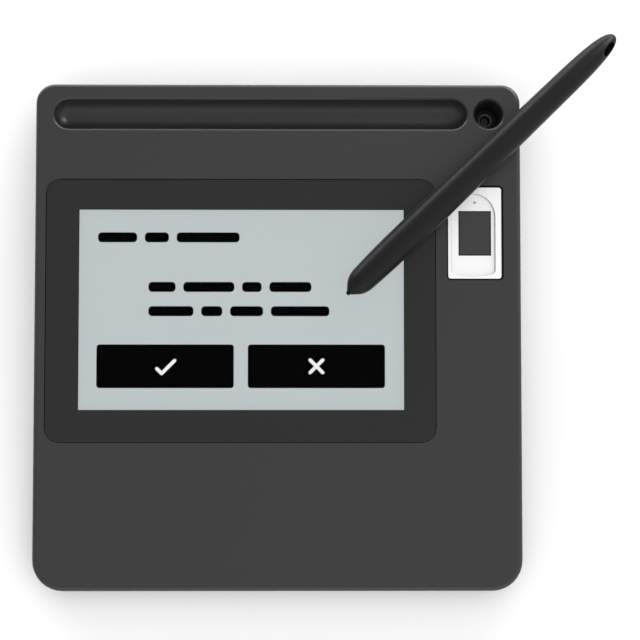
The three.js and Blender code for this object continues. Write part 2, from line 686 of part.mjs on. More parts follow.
// The tray-like base: floor, low wall, the tongue that locates the top shell, cups and standoffs.
function baseCover() {
  const rimTop = PARTING_HEIGHT - PARTING_GAP;
  const rounding = [];
  for (let i = 0; i <= ROUND_STEPS; i += 1) {
    const angle = ((Math.PI / 2) * i) / ROUND_STEPS;
    const height = BASE_ROUND * (1 - Math.cos(angle));
    rounding.push(ringAt(bodyPoints(BASE_ROUND * (1 - Math.sin(angle))), () => height));
  }
  const slab = loft([...rounding, ringAt(bodyPoints(0), () => rimTop)]);
  const hollow = prism(bodyPoints(TONGUE_INNER_INSET), FLOOR, rimTop + OVERRUN);
  const tongueTop = PARTING_HEIGHT + TONGUE_HEIGHT;
  const tongue = cut(
    prism(bodyPoints(TONGUE_INSET), FLOOR / 2, tongueTop),
    prism(bodyPoints(TONGUE_INNER_INSET), 0, tongueTop + OVERRUN),
  );
  const tab = block(
    PORT_TAB_WIDTH,
    TONGUE_INNER_INSET,
    FLOOR,
    PORT_CENTRE_HEIGHT - PARTING_GAP,
    0,
    END - TONGUE_INNER_INSET / 2,
  );
  const added = [tongue, tab];
  for (const [x, y] of Object.values(caseScrews)) {
    added.push(rod(CUP_RADIUS, FLOOR / 2, CUP_HEIGHT, SCREW_SEGMENTS, x, y));
  }
  for (const [x, y] of Object.values(boardScrews)) {
    added.push(rod(STANDOFF_RADIUS, FLOOR / 2, BOARD_UNDER, SCREW_SEGMENTS, x, y));
  }
  const ribFront = -END + TONGUE_INNER_INSET;
  const ribRear = BOARD_FRONT - SEAT_GAP;
  for (let i = 1; i <= BASE_RIBS; i += 1) {
    const x = -SIDE + (BODY_WIDTH * i) / (BASE_RIBS + 1);
    added.push(
      block(
        RIB_THICKNESS,
        ribRear - ribFront,
        FLOOR / 2,
        FLOOR + BASE_RIB_HEIGHT,
        x,
        (ribFront + ribRear) / 2,
      ),
    );
  }
  const tools = [
    portTool(PORT_GAP, END - TONGUE_INNER_INSET - OVERRUN, END + OVERRUN),
    wellOuter(SEAT_GAP),
  ];
  for (const [x, y] of Object.values(caseScrews)) {
    tools.push(rod(SCREW_HEAD_RADIUS + SEAT_GAP, -OVERRUN, SCREW_SEAT_DEPTH, SCREW_SEGMENTS, x, y));
    tools.push(rod(SCREW_RADIUS + SHANK_GAP, 0, CUP_HEIGHT + OVERRUN, SCREW_SEGMENTS, x, y));
  }
  for (const [x, y] of Object.values(boardScrews)) {
    const pilotLow = BOARD_TOP - SMALL_SCREW_LENGTH - SEAT_GAP;
    tools.push(rod(SMALL_SCREW_RADIUS + SHANK_GAP, pilotLow, BOARD_TOP, SCREW_SEGMENTS, x, y));
  }
  for (const [x, y] of Object.values(feet)) {
    tools.push(rod(FOOT_RADIUS + GLUE_LINE, -OVERRUN, FOOT_RECESS, FOOT_SEGMENTS, x, y));
  }
  return cut(join(cut(slab, hollow), ...added), ...tools);
}

// A pan-head screw, head down, with its seat at height 0 and a cross recess in the head.
function screw(radius, length, headRadius, headHeight) {
  const body = turned(
    [
      [0, -headHeight],
      [headRadius * DRIVE_REACH_SHARE, -headHeight],
      [headRadius, -headHeight * DRIVE_DEPTH_SHARE],
      [headRadius, 0],
      [radius, 0],
      [radius, length - radius],
      [radius / 2, length],
      [0, length],
    ],
    SCREW_SEGMENTS,
  );
  const reach = 2 * headRadius * DRIVE_REACH_SHARE;
  const low = -headHeight - OVERRUN;
  const high = -headHeight * (1 - DRIVE_DEPTH_SHARE);
  return cut(body, block(reach, DRIVE_SLOT, low, high), block(DRIVE_SLOT, reach, low, high));
}

function foot() {
  return turned(
    [
      [0, FOOT_RECESS - FOOT_THICKNESS],
      [FOOT_RADIUS - FOOT_CHAMFER, FOOT_RECESS - FOOT_THICKNESS],
      [FOOT_RADIUS, FOOT_RECESS - FOOT_THICKNESS + FOOT_CHAMFER],
      [FOOT_RADIUS, FOOT_RECESS - GLUE_LINE],
      [0, FOOT_RECESS - GLUE_LINE],
    ],
    FOOT_SEGMENTS,
  );
}

const lensPoints = (inset) =>
  roundedPoints(
    LENS_WIDTH - 2 * inset,
    LENS_LENGTH - 2 * inset,
    LENS_CORNER - inset,
    LENS_CORNER - inset,
    SMALL_CORNER_STEPS,
  );

function displayPieces() {
  const group = new THREE.Group();
  const gasketTop = -LENS_BACK - GASKET_GAP;
  group.add(
    piece(
      "cover_lens",
      prism(lensPoints(0), -LENS_BACK, -LENS_SINK, lens.across, lens.along),
      lensGlass,
    ),
  );
  const gasket = cut(
    prism(lensPoints(GASKET_GAP), gasketTop - GASKET_THICKNESS, gasketTop, lens.across, lens.along),
    block(
      ACTIVE_WIDTH,
      ACTIVE_LENGTH,
      gasketTop - OVERRUN,
      0,
      picture.across,
      picture.along,
    ),
  );
  group.add(piece("lens_gasket", gasket, blackFoam));

  const sheetInset = 2 * MODULE_SHEET;
  const moduleBack = -MODULE_TOP - MODULE_THICKNESS;
  const cellTop = -MODULE_TOP - MODULE_SHEET;
  const frame = cut(
    block(MODULE_WIDTH, MODULE_LENGTH, moduleBack, -MODULE_TOP, lens.across, lens.along),
    block(
      MODULE_WIDTH - sheetInset,
      MODULE_LENGTH - sheetInset,
      moduleBack - OVERRUN,
      cellTop,
      lens.across,
      lens.along,
    ),
    block(
      ACTIVE_WIDTH + sheetInset,
      ACTIVE_LENGTH + sheetInset,
      moduleBack,
      0,
      picture.across,
      picture.along,
    ),
  );
  group.add(piece("display_frame", frame, steel));
  const cellGap = sheetInset + 2 * GASKET_GAP;
  const cell = block(
    MODULE_WIDTH - cellGap,
    MODULE_LENGTH - cellGap,
    cellTop - GASKET_GAP - CELL_THICKNESS,
    cellTop - GASKET_GAP,
    lens.across,
    lens.along,
  );
  group.add(piece("display_cell", cell, pictureGlass));
  const backlight = block(
    MODULE_WIDTH - cellGap,
    MODULE_LENGTH - cellGap,
    moduleBack,
    cellTop - 2 * GASKET_GAP - CELL_THICKNESS,
    lens.across,
    lens.along,
  );
  group.add(piece("backlight", backlight, whitePlastic));
  const sensorBoard = block(
    MODULE_WIDTH - 2 * SENSOR_BOARD_INSET,
    MODULE_LENGTH - 2 * SENSOR_BOARD_INSET,
    -SENSOR_TOP - SENSOR_BOARD_THICKNESS,
    -SENSOR_TOP,
    lens.across,
    lens.along,
  );
  group.add(piece("pen_sensor_board", sensorBoard, boardGreen));
  group.add(piece("display_bracket", displayBracket(), steel));
  for (const [place, [across, along]] of Object.entries(bracketScrews)) {
    const fastener = piece(
      `bracket_screw_${place}`,
      screw(SMALL_SCREW_RADIUS, SMALL_SCREW_LENGTH, SMALL_HEAD_RADIUS, SMALL_HEAD_HEIGHT),
      zincSteel,
    );
    fastener.position.set(across, along, -BRACKET_BACK - GLUE_LINE);
    group.add(fastener);
  }
  return group;
}

// Pressed steel plate that clamps the display and the pen sensor, with an ear at each screw.
function displayBracket() {
  const plate = block(MODULE_WIDTH, MODULE_LENGTH, -BRACKET_BACK, -BRACKET_TOP, lens.across, lens.along);
  const ears = [];
  const holes = [];
  for (let i = 1; i <= BRACKET_SLOTS; i += 1) {
    const across = lens.across - MODULE_WIDTH / 2 + (MODULE_WIDTH * i) / (BRACKET_SLOTS + 1);
    const length = MODULE_LENGTH - 2 * BRACKET_SLOT_MARGIN;
    holes.push(block(BRACKET_SLOT_WIDTH, length, -BRACKET_BACK - OVERRUN, 0, across, lens.along));
  }
  for (const [across, along] of Object.values(bracketScrews)) {
    const neck = BRACKET_EAR_REACH + BRACKET_EAR_RADIUS;
    const middle = along - (Math.sign(along - lens.along) * neck) / 2;
    ears.push(rod(BRACKET_EAR_RADIUS, -BRACKET_BACK, -BRACKET_TOP, SCREW_SEGMENTS, across, along));
    ears.push(block(2 * BRACKET_EAR_RADIUS, neck, -BRACKET_BACK, -BRACKET_TOP, across, middle));
    holes.push(
      rod(
        SMALL_SCREW_RADIUS + SHANK_GAP,
        -BRACKET_BACK - OVERRUN,
        0,
        SCREW_SEGMENTS,
        across,
        along,
      ),
    );
  }
  return cut(join(plate, ...ears), ...holes);
}

// The finger's bed, drawn in by an inset: a bowed front, straight sides and a half-round rear end.
function bedPoints(inset) {
  const half = READER_WIDTH / 2 - READER_RIM_SIDE;
  const corner = READER_BED_CORNER - inset;
  const side = half - READER_BED_CORNER;
  const front = -READER_LENGTH / 2 + READER_RIM_FRONT + inset;
  const rearCentre = READER_LENGTH / 2 - READER_RIM_REAR - half;
  const cornerCentre = front + READER_BED_BOW + corner;
  const points = [];
  for (let i = 1; i < SMALL_CORNER_STEPS; i += 1) {
    const share = (2 * i) / SMALL_CORNER_STEPS - 1;
    points.push(new THREE.Vector2(side * share, front + READER_BED_BOW * share * share));
  }
  for (const [across, along, radius, start, sweep, steps] of [
    [side, cornerCentre, corner, -Math.PI / 2, Math.PI / 2, SMALL_CORNER_STEPS],
    [0, rearCentre, half - inset, 0, Math.PI, 2 * CORNER_STEPS],
    [-side, cornerCentre, corner, Math.PI, Math.PI / 2, SMALL_CORNER_STEPS],
  ]) {
    for (let i = 0; i <= steps; i += 1) {
      const angle = start + (sweep * i) / steps;
      points.push(
        new THREE.Vector2(across + radius * Math.cos(angle), along + radius * Math.sin(angle)),
      );
    }
  }
  return points;
}

function readerPieces() {
  const group = new THREE.Group();
  group.position.set(reader.across, reader.along, 0);
  const flangeTop = -ROOF - SEAT_GAP;
  const bezelPoints = roundedPoints(
    READER_WIDTH,
    READER_LENGTH,
    READER_CORNER,
    READER_CORNER,
    SMALL_CORNER_STEPS,
  );
  const bed = [];
  for (let i = 0; i <= ROUND_STEPS; i += 1) {
    const angle = ((Math.PI / 2) * i) / ROUND_STEPS;
    const depth = READER_BED_DEPTH * Math.cos(angle);
    const inset = READER_BED_SLOPE * (1 - Math.sin(angle));
    bed.push(ringAt(bedPoints(inset), () => -depth));
  }
  bed.push(ringAt(bedPoints(0), () => OVERRUN));
  const windowTop = -READER_BED_DEPTH;
  const windowBack = windowTop - READER_WINDOW_THICKNESS;
  const lightAlong = READER_WINDOW_SHIFT + READER_WINDOW_LENGTH / 2 + READER_LIGHT_TO_WINDOW;
  const bezel = cut(
    join(
      prism(bezelPoints, -READER_HEIGHT, 0),
      block(
        READER_WIDTH + 2 * READER_FLANGE,
        READER_LENGTH + 2 * READER_FLANGE,
        flangeTop - READER_FLANGE_THICKNESS,
        flangeTop,
      ),
    ),
    loft(bed),
    block(
      READER_WINDOW_WIDTH + 2 * READER_WINDOW_GAP,
      READER_WINDOW_LENGTH + 2 * READER_WINDOW_GAP,
      windowBack - GLUE_LINE,
      0,
      0,
      READER_WINDOW_SHIFT,
    ),
    block(
      READER_WINDOW_WIDTH - 2 * READER_WINDOW_LEDGE,
      READER_WINDOW_LENGTH - 2 * READER_WINDOW_LEDGE,
      -READER_HEIGHT - OVERRUN,
      0,
      0,
      READER_WINDOW_SHIFT,
    ),
    rod(
      READER_LIGHT_RADIUS + READER_LIGHT_GAP,
      -READER_HEIGHT - OVERRUN,
      0,
      SCREW_SEGMENTS,
      0,
      lightAlong,
    ),
  );
  group.add(piece("reader_bezel", bezel, whitePlastic));
  group.add(
    piece(
      "reader_window",
      block(
        READER_WINDOW_WIDTH,
        READER_WINDOW_LENGTH,
        windowBack,
        windowTop,
        0,
        READER_WINDOW_SHIFT,
      ),
      sensorGlass,
    ),
  );
  group.add(
    piece(
      "reader_light",
      rod(READER_LIGHT_RADIUS, -READER_HEIGHT, windowTop, SCREW_SEGMENTS, 0, lightAlong),
      sensorGlass,
    ),
  );
  const boardTop = -READER_HEIGHT - SEAT_GAP;
  group.add(
    piece(
      "reader_board",
      block(READER_WIDTH, READER_LENGTH, boardTop - READER_BOARD_THICKNESS, boardTop),
      boardGreen,
    ),
  );
  return group;
}

// A flat cable bent in one plane: first and last run level, and reach is how far the bend swings out.
function ribbon(start, end, reach, width) {
  const curve = new THREE.CubicBezierCurve(
    start,
    new THREE.Vector2(start.x + reach, start.y),
    new THREE.Vector2(end.x + reach, end.y),
    end,
  );
  const upper = [];
  const lower = [];
  for (let i = 0; i <= RIBBON_STEPS; i += 1) {
    const point = curve.getPoint(i / RIBBON_STEPS);
    const along = curve.getTangent(i / RIBBON_STEPS);
    const side = new THREE.Vector2(-along.y, along.x).multiplyScalar(RIBBON_THICKNESS / 2);
    upper.push(point.clone().add(side));
    lower.unshift(point.clone().sub(side));
  }
  const geometry = new THREE.ExtrudeGeometry(new THREE.Shape([...lower, ...upper]), {
    depth: width,
    bevelEnabled: false,
  });
  return geometry.translate(0, 0, -width / 2);
}

// Where a point of the sloped face's frame lies in the body's frame.
const placed = (across, along, below) =>
  new THREE.Vector3(across, along, -below).applyMatrix4(FACE_FRAME);

// A ribbon across the YZ plane, from the rear edge of a board in the stack to the main board.
function rearRibbon(below, edgeInset, across, reach, width) {
  const from = placed(0, lens.along + MODULE_LENGTH / 2 - edgeInset + RIBBON_GAP, below);
  const start = new THREE.Vector2(from.y, from.z);
  const end = new THREE.Vector2(
    CONNECTOR_MIDDLE + CONNECTOR_LENGTH / 2 + RIBBON_GAP,
    BOARD_TOP + SOLDER_GAP + CONNECTOR_HEIGHT / 2,
  );
  // The ribbon is drawn with its own X along Y and its own Y along Z.
  const toBody = new THREE.Matrix4().makeBasis(
    new THREE.Vector3(0, 1, 0),
    new THREE.Vector3(0, 0, 1),
    new THREE.Vector3(1, 0, 0),
  );
  return ribbon(start, end, reach, width).applyMatrix4(toBody).translate(across, 0, 0);
}

const readerConnector = {
  x: BOARD_WIDTH / 2 - CONNECTOR_LENGTH,
  y:
    BOARD_FRONT +
    BOARD_SCREW_INSET +
    SMALL_HEAD_RADIUS +
    READER_CONNECTOR_TO_SCREW +
    READER_RIBBON_WIDTH / 2 +
    CONNECTOR_MARGIN,
};

// The reader's ribbon bends down in the space beside the bracket, then runs level to the left.
function readerRibbon() {
  const from = placed(
    reader.across - READER_WIDTH / 2 - RIBBON_GAP,
    readerConnector.y / Math.cos(FACE_SLOPE),
    READER_HEIGHT + SEAT_GAP + READER_BOARD_THICKNESS / 2,
  );
  const levelX = lens.across + MODULE_WIDTH / 2 + SEAT_GAP;
  const levelZ = BOARD_TOP + SOLDER_GAP + CONNECTOR_HEIGHT / 2;
  const middle = (from.x + levelX) / 2;
  const curve = new THREE.CubicBezierCurve(
    new THREE.Vector2(levelX, levelZ),
    new THREE.Vector2(middle, levelZ),
    new THREE.Vector2(middle, from.z),
    new THREE.Vector2(from.x, from.z),
  );
  const connectorSide = new THREE.Vector2(
    readerConnector.x + CONNECTOR_LENGTH / 2 + RIBBON_GAP,
    levelZ,
  );
  const upper = [];
  const lower = [];
  for (const point of [connectorSide, ...curve.getPoints(RIBBON_STEPS)]) {
    upper.unshift(point.clone().add(new THREE.Vector2(0, RIBBON_THICKNESS / 2)));
    lower.push(point.clone().sub(new THREE.Vector2(0, RIBBON_THICKNESS / 2)));
  }
  const geometry = new THREE.ExtrudeGeometry(new THREE.Shape([...lower, ...upper]), {
    depth: READER_RIBBON_WIDTH,
    bevelEnabled: false,
  });
  return geometry.rotateX(Math.PI / 2).translate(0, readerConnector.y + READER_RIBBON_WIDTH / 2, 0);
}

// What is soldered on the main board, with its width, length and height.
const chipFront = CONNECTOR_MIDDLE + CONTROLLER_TO_CONNECTOR;
const boardParts = {
  display_connector: {
    size: [DISPLAY_RIBBON_WIDTH + 2 * CONNECTOR_MARGIN, CONNECTOR_LENGTH, CONNECTOR_HEIGHT],
    at: [DISPLAY_RIBBON_ACROSS, CONNECTOR_MIDDLE],
    material: connectorCream,
  },
  sensor_connector: {
    size: [SENSOR_RIBBON_WIDTH + 2 * CONNECTOR_MARGIN, CONNECTOR_LENGTH, CONNECTOR_HEIGHT],
    at: [SENSOR_RIBBON_ACROSS, CONNECTOR_MIDDLE],
    material: connectorCream,
  },
  reader_connector: {
    size: [CONNECTOR_LENGTH, READER_RIBBON_WIDTH + 2 * CONNECTOR_MARGIN, CONNECTOR_HEIGHT],
    at: [readerConnector.x, readerConnector.y],
    material: connectorCream,
  },
  controller_chip: {
    size: [CONTROLLER_SIZE, CONTROLLER_SIZE, CONTROLLER_HEIGHT],
    at: [CONTROLLER_ACROSS, chipFront + CONTROLLER_SIZE / 2],
    material: chipBlack,
  },
  memory_chip: {
    size: [MEMORY_WIDTH, MEMORY_LENGTH, MEMORY_HEIGHT],
    at: [MEMORY_ACROSS, chipFront + MEMORY_LENGTH / 2],
    material: chipBlack,
  },
};

function boardPieces() {
  const group = new THREE.Group();
  const boardLow = BOARD_UNDER + GLUE_LINE;
  let board = prism(
    roundedPoints(BOARD_WIDTH, BOARD_LENGTH, BOARD_CORNER, BOARD_CORNER, SMALL_CORNER_STEPS),
    boardLow,
    BOARD_TOP,
    0,
    boardMiddle,
  );
  for (const [x, y] of Object.values(boardScrews)) {
    board = cut(board, rod(SMALL_SCREW_RADIUS + SHANK_GAP, 0, BOARD_TOP + OVERRUN, SCREW_SEGMENTS, x, y));
  }
  group.add(piece("main_board", board, boardGreen));
  for (const [place, [x, y]] of Object.entries(boardScrews)) {
    const fastener = piece(
      `board_screw_${place}`,
      screw(SMALL_SCREW_RADIUS, SMALL_SCREW_LENGTH, SMALL_HEAD_RADIUS, SMALL_HEAD_HEIGHT),
      zincSteel,
    );
    fastener.rotation.x = Math.PI;
    fastener.position.set(x, y, BOARD_TOP + SOLDER_GAP);
    group.add(fastener);
  }

  const mouth = END - PORT_SETBACK;
  const back = mouth - PORT_LENGTH;
  const portShell = cut(portTool(0, back, mouth), portTool(-PORT_SHEET, back + PORT_BACK, mouth + OVERRUN));
  group.add(piece("port_shell", portShell, steel));
  const tongueLow = back + PORT_BACK + SOLDER_GAP;
  const portTongue = block(
    PORT_TONGUE_WIDTH,
    PORT_TONGUE_LENGTH,
    PORT_CENTRE_HEIGHT - PORT_TONGUE_THICKNESS / 2,
    PORT_CENTRE_HEIGHT + PORT_TONGUE_THICKNESS / 2,
    0,
    tongueLow + PORT_TONGUE_LENGTH / 2,
  );
  group.add(piece("port_tongue", portTongue, chipBlack));

  const chipLow = BOARD_TOP + SOLDER_GAP;
  for (const [name, { size, at, material }] of Object.entries(boardParts)) {
    const [width, length, height] = size;
    group.add(piece(name, block(width, length, chipLow, chipLow + height, ...at), material));
  }
  group.add(
    piece(
      "display_ribbon",
      rearRibbon(
        MODULE_TOP + MODULE_THICKNESS - RIBBON_THICKNESS,
        0,
        DISPLAY_RIBBON_ACROSS,
        DISPLAY_RIBBON_REACH,
        DISPLAY_RIBBON_WIDTH,
      ),
      ribbonAmber,
    ),
    piece(
      "sensor_ribbon",
      rearRibbon(
        SENSOR_TOP + SENSOR_BOARD_THICKNESS / 2,
        SENSOR_BOARD_INSET,
        SENSOR_RIBBON_ACROSS,
        SENSOR_RIBBON_REACH,
        SENSOR_RIBBON_WIDTH,
      ),
      ribbonAmber,
    ),
    piece("reader_ribbon", readerRibbon(), ribbonAmber),
  );
  return group;
}

// The pen's own frame has its axis along Z, with the nib's point at 0 and the tail up.
const PEN_TAPER = (GRIP_RADIUS - TAIL_RADIUS) / (TAIL_START - GRIP_END);

// Handles of the pen's curved stretches, each as its share of the change in radius and in distance.
const noseShares = [
  [0.48, 0.24],
  [0.98, 0.38],
];
const gripShares = [
  [0.6, 0.3],
  [1, 0.6],
];
const tailShares = [
  [0.02, 0.54],
  [0.08, 1],
];

// A curve of the pen's outline between two [radius, distance] points.
function bend(from, to, shares, steps) {
  const change = to.clone().sub(from);
  const [first, second] = shares.map(([out, along]) =>
    new THREE.Vector2(out, along).multiply(change).add(from),
  );
  return new THREE.CubicBezierCurve(from, first, second, to).getPoints(steps).slice(1);
}

const noseRim = new THREE.Vector2(NOSE_RADIUS, NIB_REACH);
const noseEnd = new THREE.Vector2(NOSE_END_RADIUS, NOSE_END);
const gripStart = new THREE.Vector2(GRIP_RADIUS, GRIP_START);

const profileOf = (points) => points.map((point) => [point.x, point.y]);

function penBarrel() {
  const boreRadius = NIB_RADIUS + NIB_BORE_GAP;
  const outer = turned(
    [
      [0, NIB_REACH],
      ...profileOf([
        noseRim,
        ...bend(noseRim, noseEnd, noseShares, NOSE_STEPS),
        ...bend(noseEnd, gripStart, gripShares, GRIP_STEPS),
      ]),
      [GRIP_RADIUS, GRIP_END],
      [TAIL_RADIUS, TAIL_START],
      [0, TAIL_START],
    ],
    PEN_SEGMENTS,
  );
  const bore = turned(
    [
      [0, 0],
      [boreRadius, 0],
      [boreRadius, PEN_BORE_START],
      [PEN_BORE_RADIUS, PEN_BORE_START],
      [PEN_BORE_RADIUS, TAIL_START + OVERRUN],
      [0, TAIL_START + OVERRUN],
    ],
    PEN_SEGMENTS,
  );
  return cut(outer, bore);
}

function tetherSlot() {
  const radius = TETHER_SLOT_WIDTH / 2;
  const half = TETHER_SLOT_LENGTH / 2 - radius;
  const slot = new THREE.ExtrudeGeometry(
    new THREE.Shape(stadiumPoints(-half, half, radius, SMALL_CORNER_STEPS * 2)),
    { depth: 2 * GRIP_RADIUS, bevelEnabled: false },
  );
  // The slot lies along the pen, and goes through it along X before it is rolled.
  slot.translate(0, 0, -GRIP_RADIUS).rotateY(Math.PI / 2);
  slot.rotateZ(TETHER_ROLL);
  return solid(slot.translate(0, 0, PEN_LENGTH - TETHER_FROM_END));
}

function tailCap() {
  const start = TAIL_START + PEN_SEAM;
  const tailEdge = new THREE.Vector2(TAIL_RADIUS, start);
  const tailEnd = new THREE.Vector2(0, PEN_LENGTH);
  const spigot = PEN_BORE_RADIUS - SPIGOT_GAP;
  const body = turned(
    [
      [0, TAIL_START - SPIGOT_LENGTH],
      [spigot, TAIL_START - SPIGOT_LENGTH],
      [spigot, start],
      ...profileOf([tailEdge, ...bend(tailEdge, tailEnd, tailShares, TAIL_STEPS)]),
    ],
    PEN_SEGMENTS,
  );
  return cut(body, tetherSlot());
}

const coreStart = PEN_BORE_START + PEN_PART_GAP;
const pressSensorStart = coreStart + CORE_LENGTH + PEN_PART_GAP;
const penBoardStart = pressSensorStart + PRESS_SENSOR_LENGTH + PEN_PART_GAP;
const penBoardEnd = TAIL_START - SPIGOT_LENGTH - PEN_PART_GAP;
const stemBore = NIB_STEM_RADIUS + CORE_BORE_GAP;

function nib() {
  const stemStart = PEN_BORE_START - PEN_PART_GAP;
  const stemEnd = pressSensorStart + PRESS_SENSOR_BORE_DEPTH - NIB_TRAVEL - PEN_PART_GAP;
  const tip = [];
  for (let i = 1; i <= ROUND_STEPS; i += 1) {
    const angle = ((Math.PI / 2) * i) / ROUND_STEPS;
    tip.push([NIB_RADIUS * Math.sin(angle), NIB_RADIUS * (1 - Math.cos(angle))]);
  }
  return turned(
    [
      [0, 0],
      ...tip,
      [NIB_RADIUS, stemStart],
      [NIB_STEM_RADIUS, stemStart],
      [NIB_STEM_RADIUS, stemEnd],
      [0, stemEnd],
    ],
    SCREW_SEGMENTS,
  );
}

const tube = (outer, inner, low, high) =>
  cut(
    rod(outer, low, high, SCREW_SEGMENTS),
    rod(inner, low - OVERRUN, high + OVERRUN, SCREW_SEGMENTS),
  );

function penPieces() {
  const coilStart = coreStart + (CORE_LENGTH - COIL_LENGTH) / 2;
  const pressSensor = cut(
    rod(PRESS_SENSOR_RADIUS, pressSensorStart, pressSensorStart + PRESS_SENSOR_LENGTH, SCREW_SEGMENTS),
    rod(stemBore, 0, pressSensorStart + PRESS_SENSOR_BORE_DEPTH, SCREW_SEGMENTS),
  );
  const board = block(PEN_BOARD_WIDTH, PEN_BOARD_THICKNESS, penBoardStart, penBoardEnd);
  const pen = new THREE.Group();
  pen.add(
    piece("pen_barrel", penBarrel(), penPlastic),
    piece("pen_tail_cap", tailCap(), penPlastic),
    piece("pen_nib", nib(), nibPlastic),
    piece("pen_core", tube(CORE_RADIUS, stemBore, coreStart, coreStart + CORE_LENGTH), ferrite),
    piece(
      "pen_coil",
      tube(COIL_RADIUS, CORE_RADIUS + COIL_GAP, coilStart, coilStart + COIL_LENGTH),
      copper,
    ),
    piece("pen_pressure_sensor", pressSensor, chipBlack),
    piece("pen_board", board, boardGreen),
  );

  // The pen's own X turns up to the face's normal and its axis points to the rear right. It lies on
  // the underside of its taper, so its axis dips to the tail by the taper's slope.
  const dip = Math.atan(PEN_TAPER);
  const axis = new THREE.Vector3(
    Math.cos(PEN_HEADING) * Math.cos(dip),
    Math.sin(PEN_HEADING) * Math.cos(dip),
    -Math.sin(dip),
  );
  const across = new THREE.Vector3(-Math.sin(PEN_HEADING), Math.cos(PEN_HEADING), 0);
  const up = new THREE.Vector3().crossVectors(across, axis);
  pen.applyMatrix4(new THREE.Matrix4().makeBasis(up, across, axis));
  const nibHeight = (GRIP_RADIUS + PEN_REST_GAP) / Math.cos(dip) + GRIP_END * Math.sin(dip);
  pen.position.set(
    lens.across + PEN_NIB_ACROSS_LENS,
    lens.along + PEN_NIB_ALONG_LENS,
    nibHeight,
  );
  return pen;
}

const pad = new THREE.Group();
pad.name = "signature_pad";
pad.add(piece("top_shell", topShell(), shellPlastic), piece("base_cover", baseCover(), basePlastic));
for (const [place, [x, y]] of Object.entries(caseScrews)) {
  const fastener = piece(
    `case_screw_${place}`,
    screw(SCREW_RADIUS, SCREW_LENGTH, SCREW_HEAD_RADIUS, SCREW_HEAD_HEIGHT),
    zincSteel,
  );
  fastener.position.set(x, y, SCREW_SEAT_DEPTH - GLUE_LINE);
  pad.add(fastener);
}
for (const [place, [x, y]] of Object.entries(feet)) {
  const pads = piece(`foot_${place}`, foot(), rubber);
  pads.position.set(x, y, 0);
  pad.add(pads);
}
pad.add(boardPieces());

const face = new THREE.Group();
face.applyMatrix4(FACE_FRAME);
face.add(displayPieces(), readerPieces(), penPieces());
pad.add(face);

export default pad;
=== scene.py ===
# %% [markdown]
# # A signature pad, finished in Blender
#
# The pad stands on a shop counter: a sloped plastic housing with a display under a flush lens, a
# finger reader beside it, a tray and a well for the pen along its rear, and the pen itself. Its
# solids come from a CAD model in metres. This lesson gives every one of them its real surface, and
# makes anew those that need finer shapes than the solids have. It starts with the frame, because
# every later place is worked out from it.

import json
import math

import bmesh
import bpy
from mathutils import Matrix, Vector


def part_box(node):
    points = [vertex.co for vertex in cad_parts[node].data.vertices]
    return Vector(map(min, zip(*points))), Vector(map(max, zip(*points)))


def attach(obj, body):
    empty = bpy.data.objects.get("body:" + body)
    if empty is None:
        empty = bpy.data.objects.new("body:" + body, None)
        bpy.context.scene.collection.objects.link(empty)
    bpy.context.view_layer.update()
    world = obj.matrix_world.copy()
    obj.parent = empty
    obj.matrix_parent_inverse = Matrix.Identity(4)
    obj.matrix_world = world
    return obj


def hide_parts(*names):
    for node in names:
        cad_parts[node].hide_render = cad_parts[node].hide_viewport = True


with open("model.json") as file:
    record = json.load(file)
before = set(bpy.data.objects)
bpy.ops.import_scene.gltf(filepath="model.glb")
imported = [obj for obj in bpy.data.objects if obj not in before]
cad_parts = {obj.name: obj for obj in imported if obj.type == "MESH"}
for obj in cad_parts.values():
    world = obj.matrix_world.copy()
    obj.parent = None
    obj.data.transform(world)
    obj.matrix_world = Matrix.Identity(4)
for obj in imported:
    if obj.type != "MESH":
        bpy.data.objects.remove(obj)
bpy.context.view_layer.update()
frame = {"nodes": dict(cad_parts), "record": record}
MM = 0.001

# %% [markdown]
# ## The sloped face
#
# The face of the pad slopes down to the person who signs. Nearly everything in sight is fitted into
# it, so a frame that lies in the face saves a lot of sums: across the pad, along the slope, and up
# out of it. Its height follows from the lens, whose rear edge is known to the CAD frame.

# %% The face's own frame
FACE_SLOPE = math.radians(4)
LENS_SINK = 0.1 * MM
LENS_THICKNESS = 1.1 * MM

lens_low, lens_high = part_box("cover_lens")
lens_back = LENS_SINK + LENS_THICKNESS
lens_rear = (lens_high.y - lens_back * math.sin(FACE_SLOPE)) / math.cos(FACE_SLOPE)
lens_front = (lens_low.y - LENS_SINK * math.sin(FACE_SLOPE)) / math.cos(FACE_SLOPE)
face_height = lens_high.z - lens_rear * math.sin(FACE_SLOPE) + LENS_SINK * math.cos(FACE_SLOPE)
face_frame = Matrix.Translation((0, 0, face_height)) @ Matrix.Rotation(FACE_SLOPE, 4, "X")

lens_across = (lens_low.x + lens_high.x) / 2
lens_along = (lens_front + lens_rear) / 2
print("face height in mm:", round(face_height / MM, 3))
print("lens centre in mm:", round(lens_across / MM, 3), round(lens_along / MM, 3))

# %% [markdown]
# ## The camera
#
# The photograph looks nearly straight down from in front, with a long lens. The camera looks at one
# point of the face from a given azimuth and elevation, and is rolled a little, as the one that took
# the photograph was.


# %% Place the camera
def in_scene(name, data):
    """A new object in the scene, from a mesh, a lamp or a camera."""
    made = bpy.data.objects.new(name, data)
    bpy.context.collection.objects.link(made)
    return made


CAMERA_AIM = Vector((13.95, 5.15, 14.38)) * MM
CAMERA_DISTANCE = 600 * MM
CAMERA_AZIMUTH = math.radians(-4.701)
CAMERA_ELEVATION = math.radians(82.532)
CAMERA_ROLL = math.radians(4.701)
CAMERA_LENS = 101.53
SENSOR_WIDTH = 36

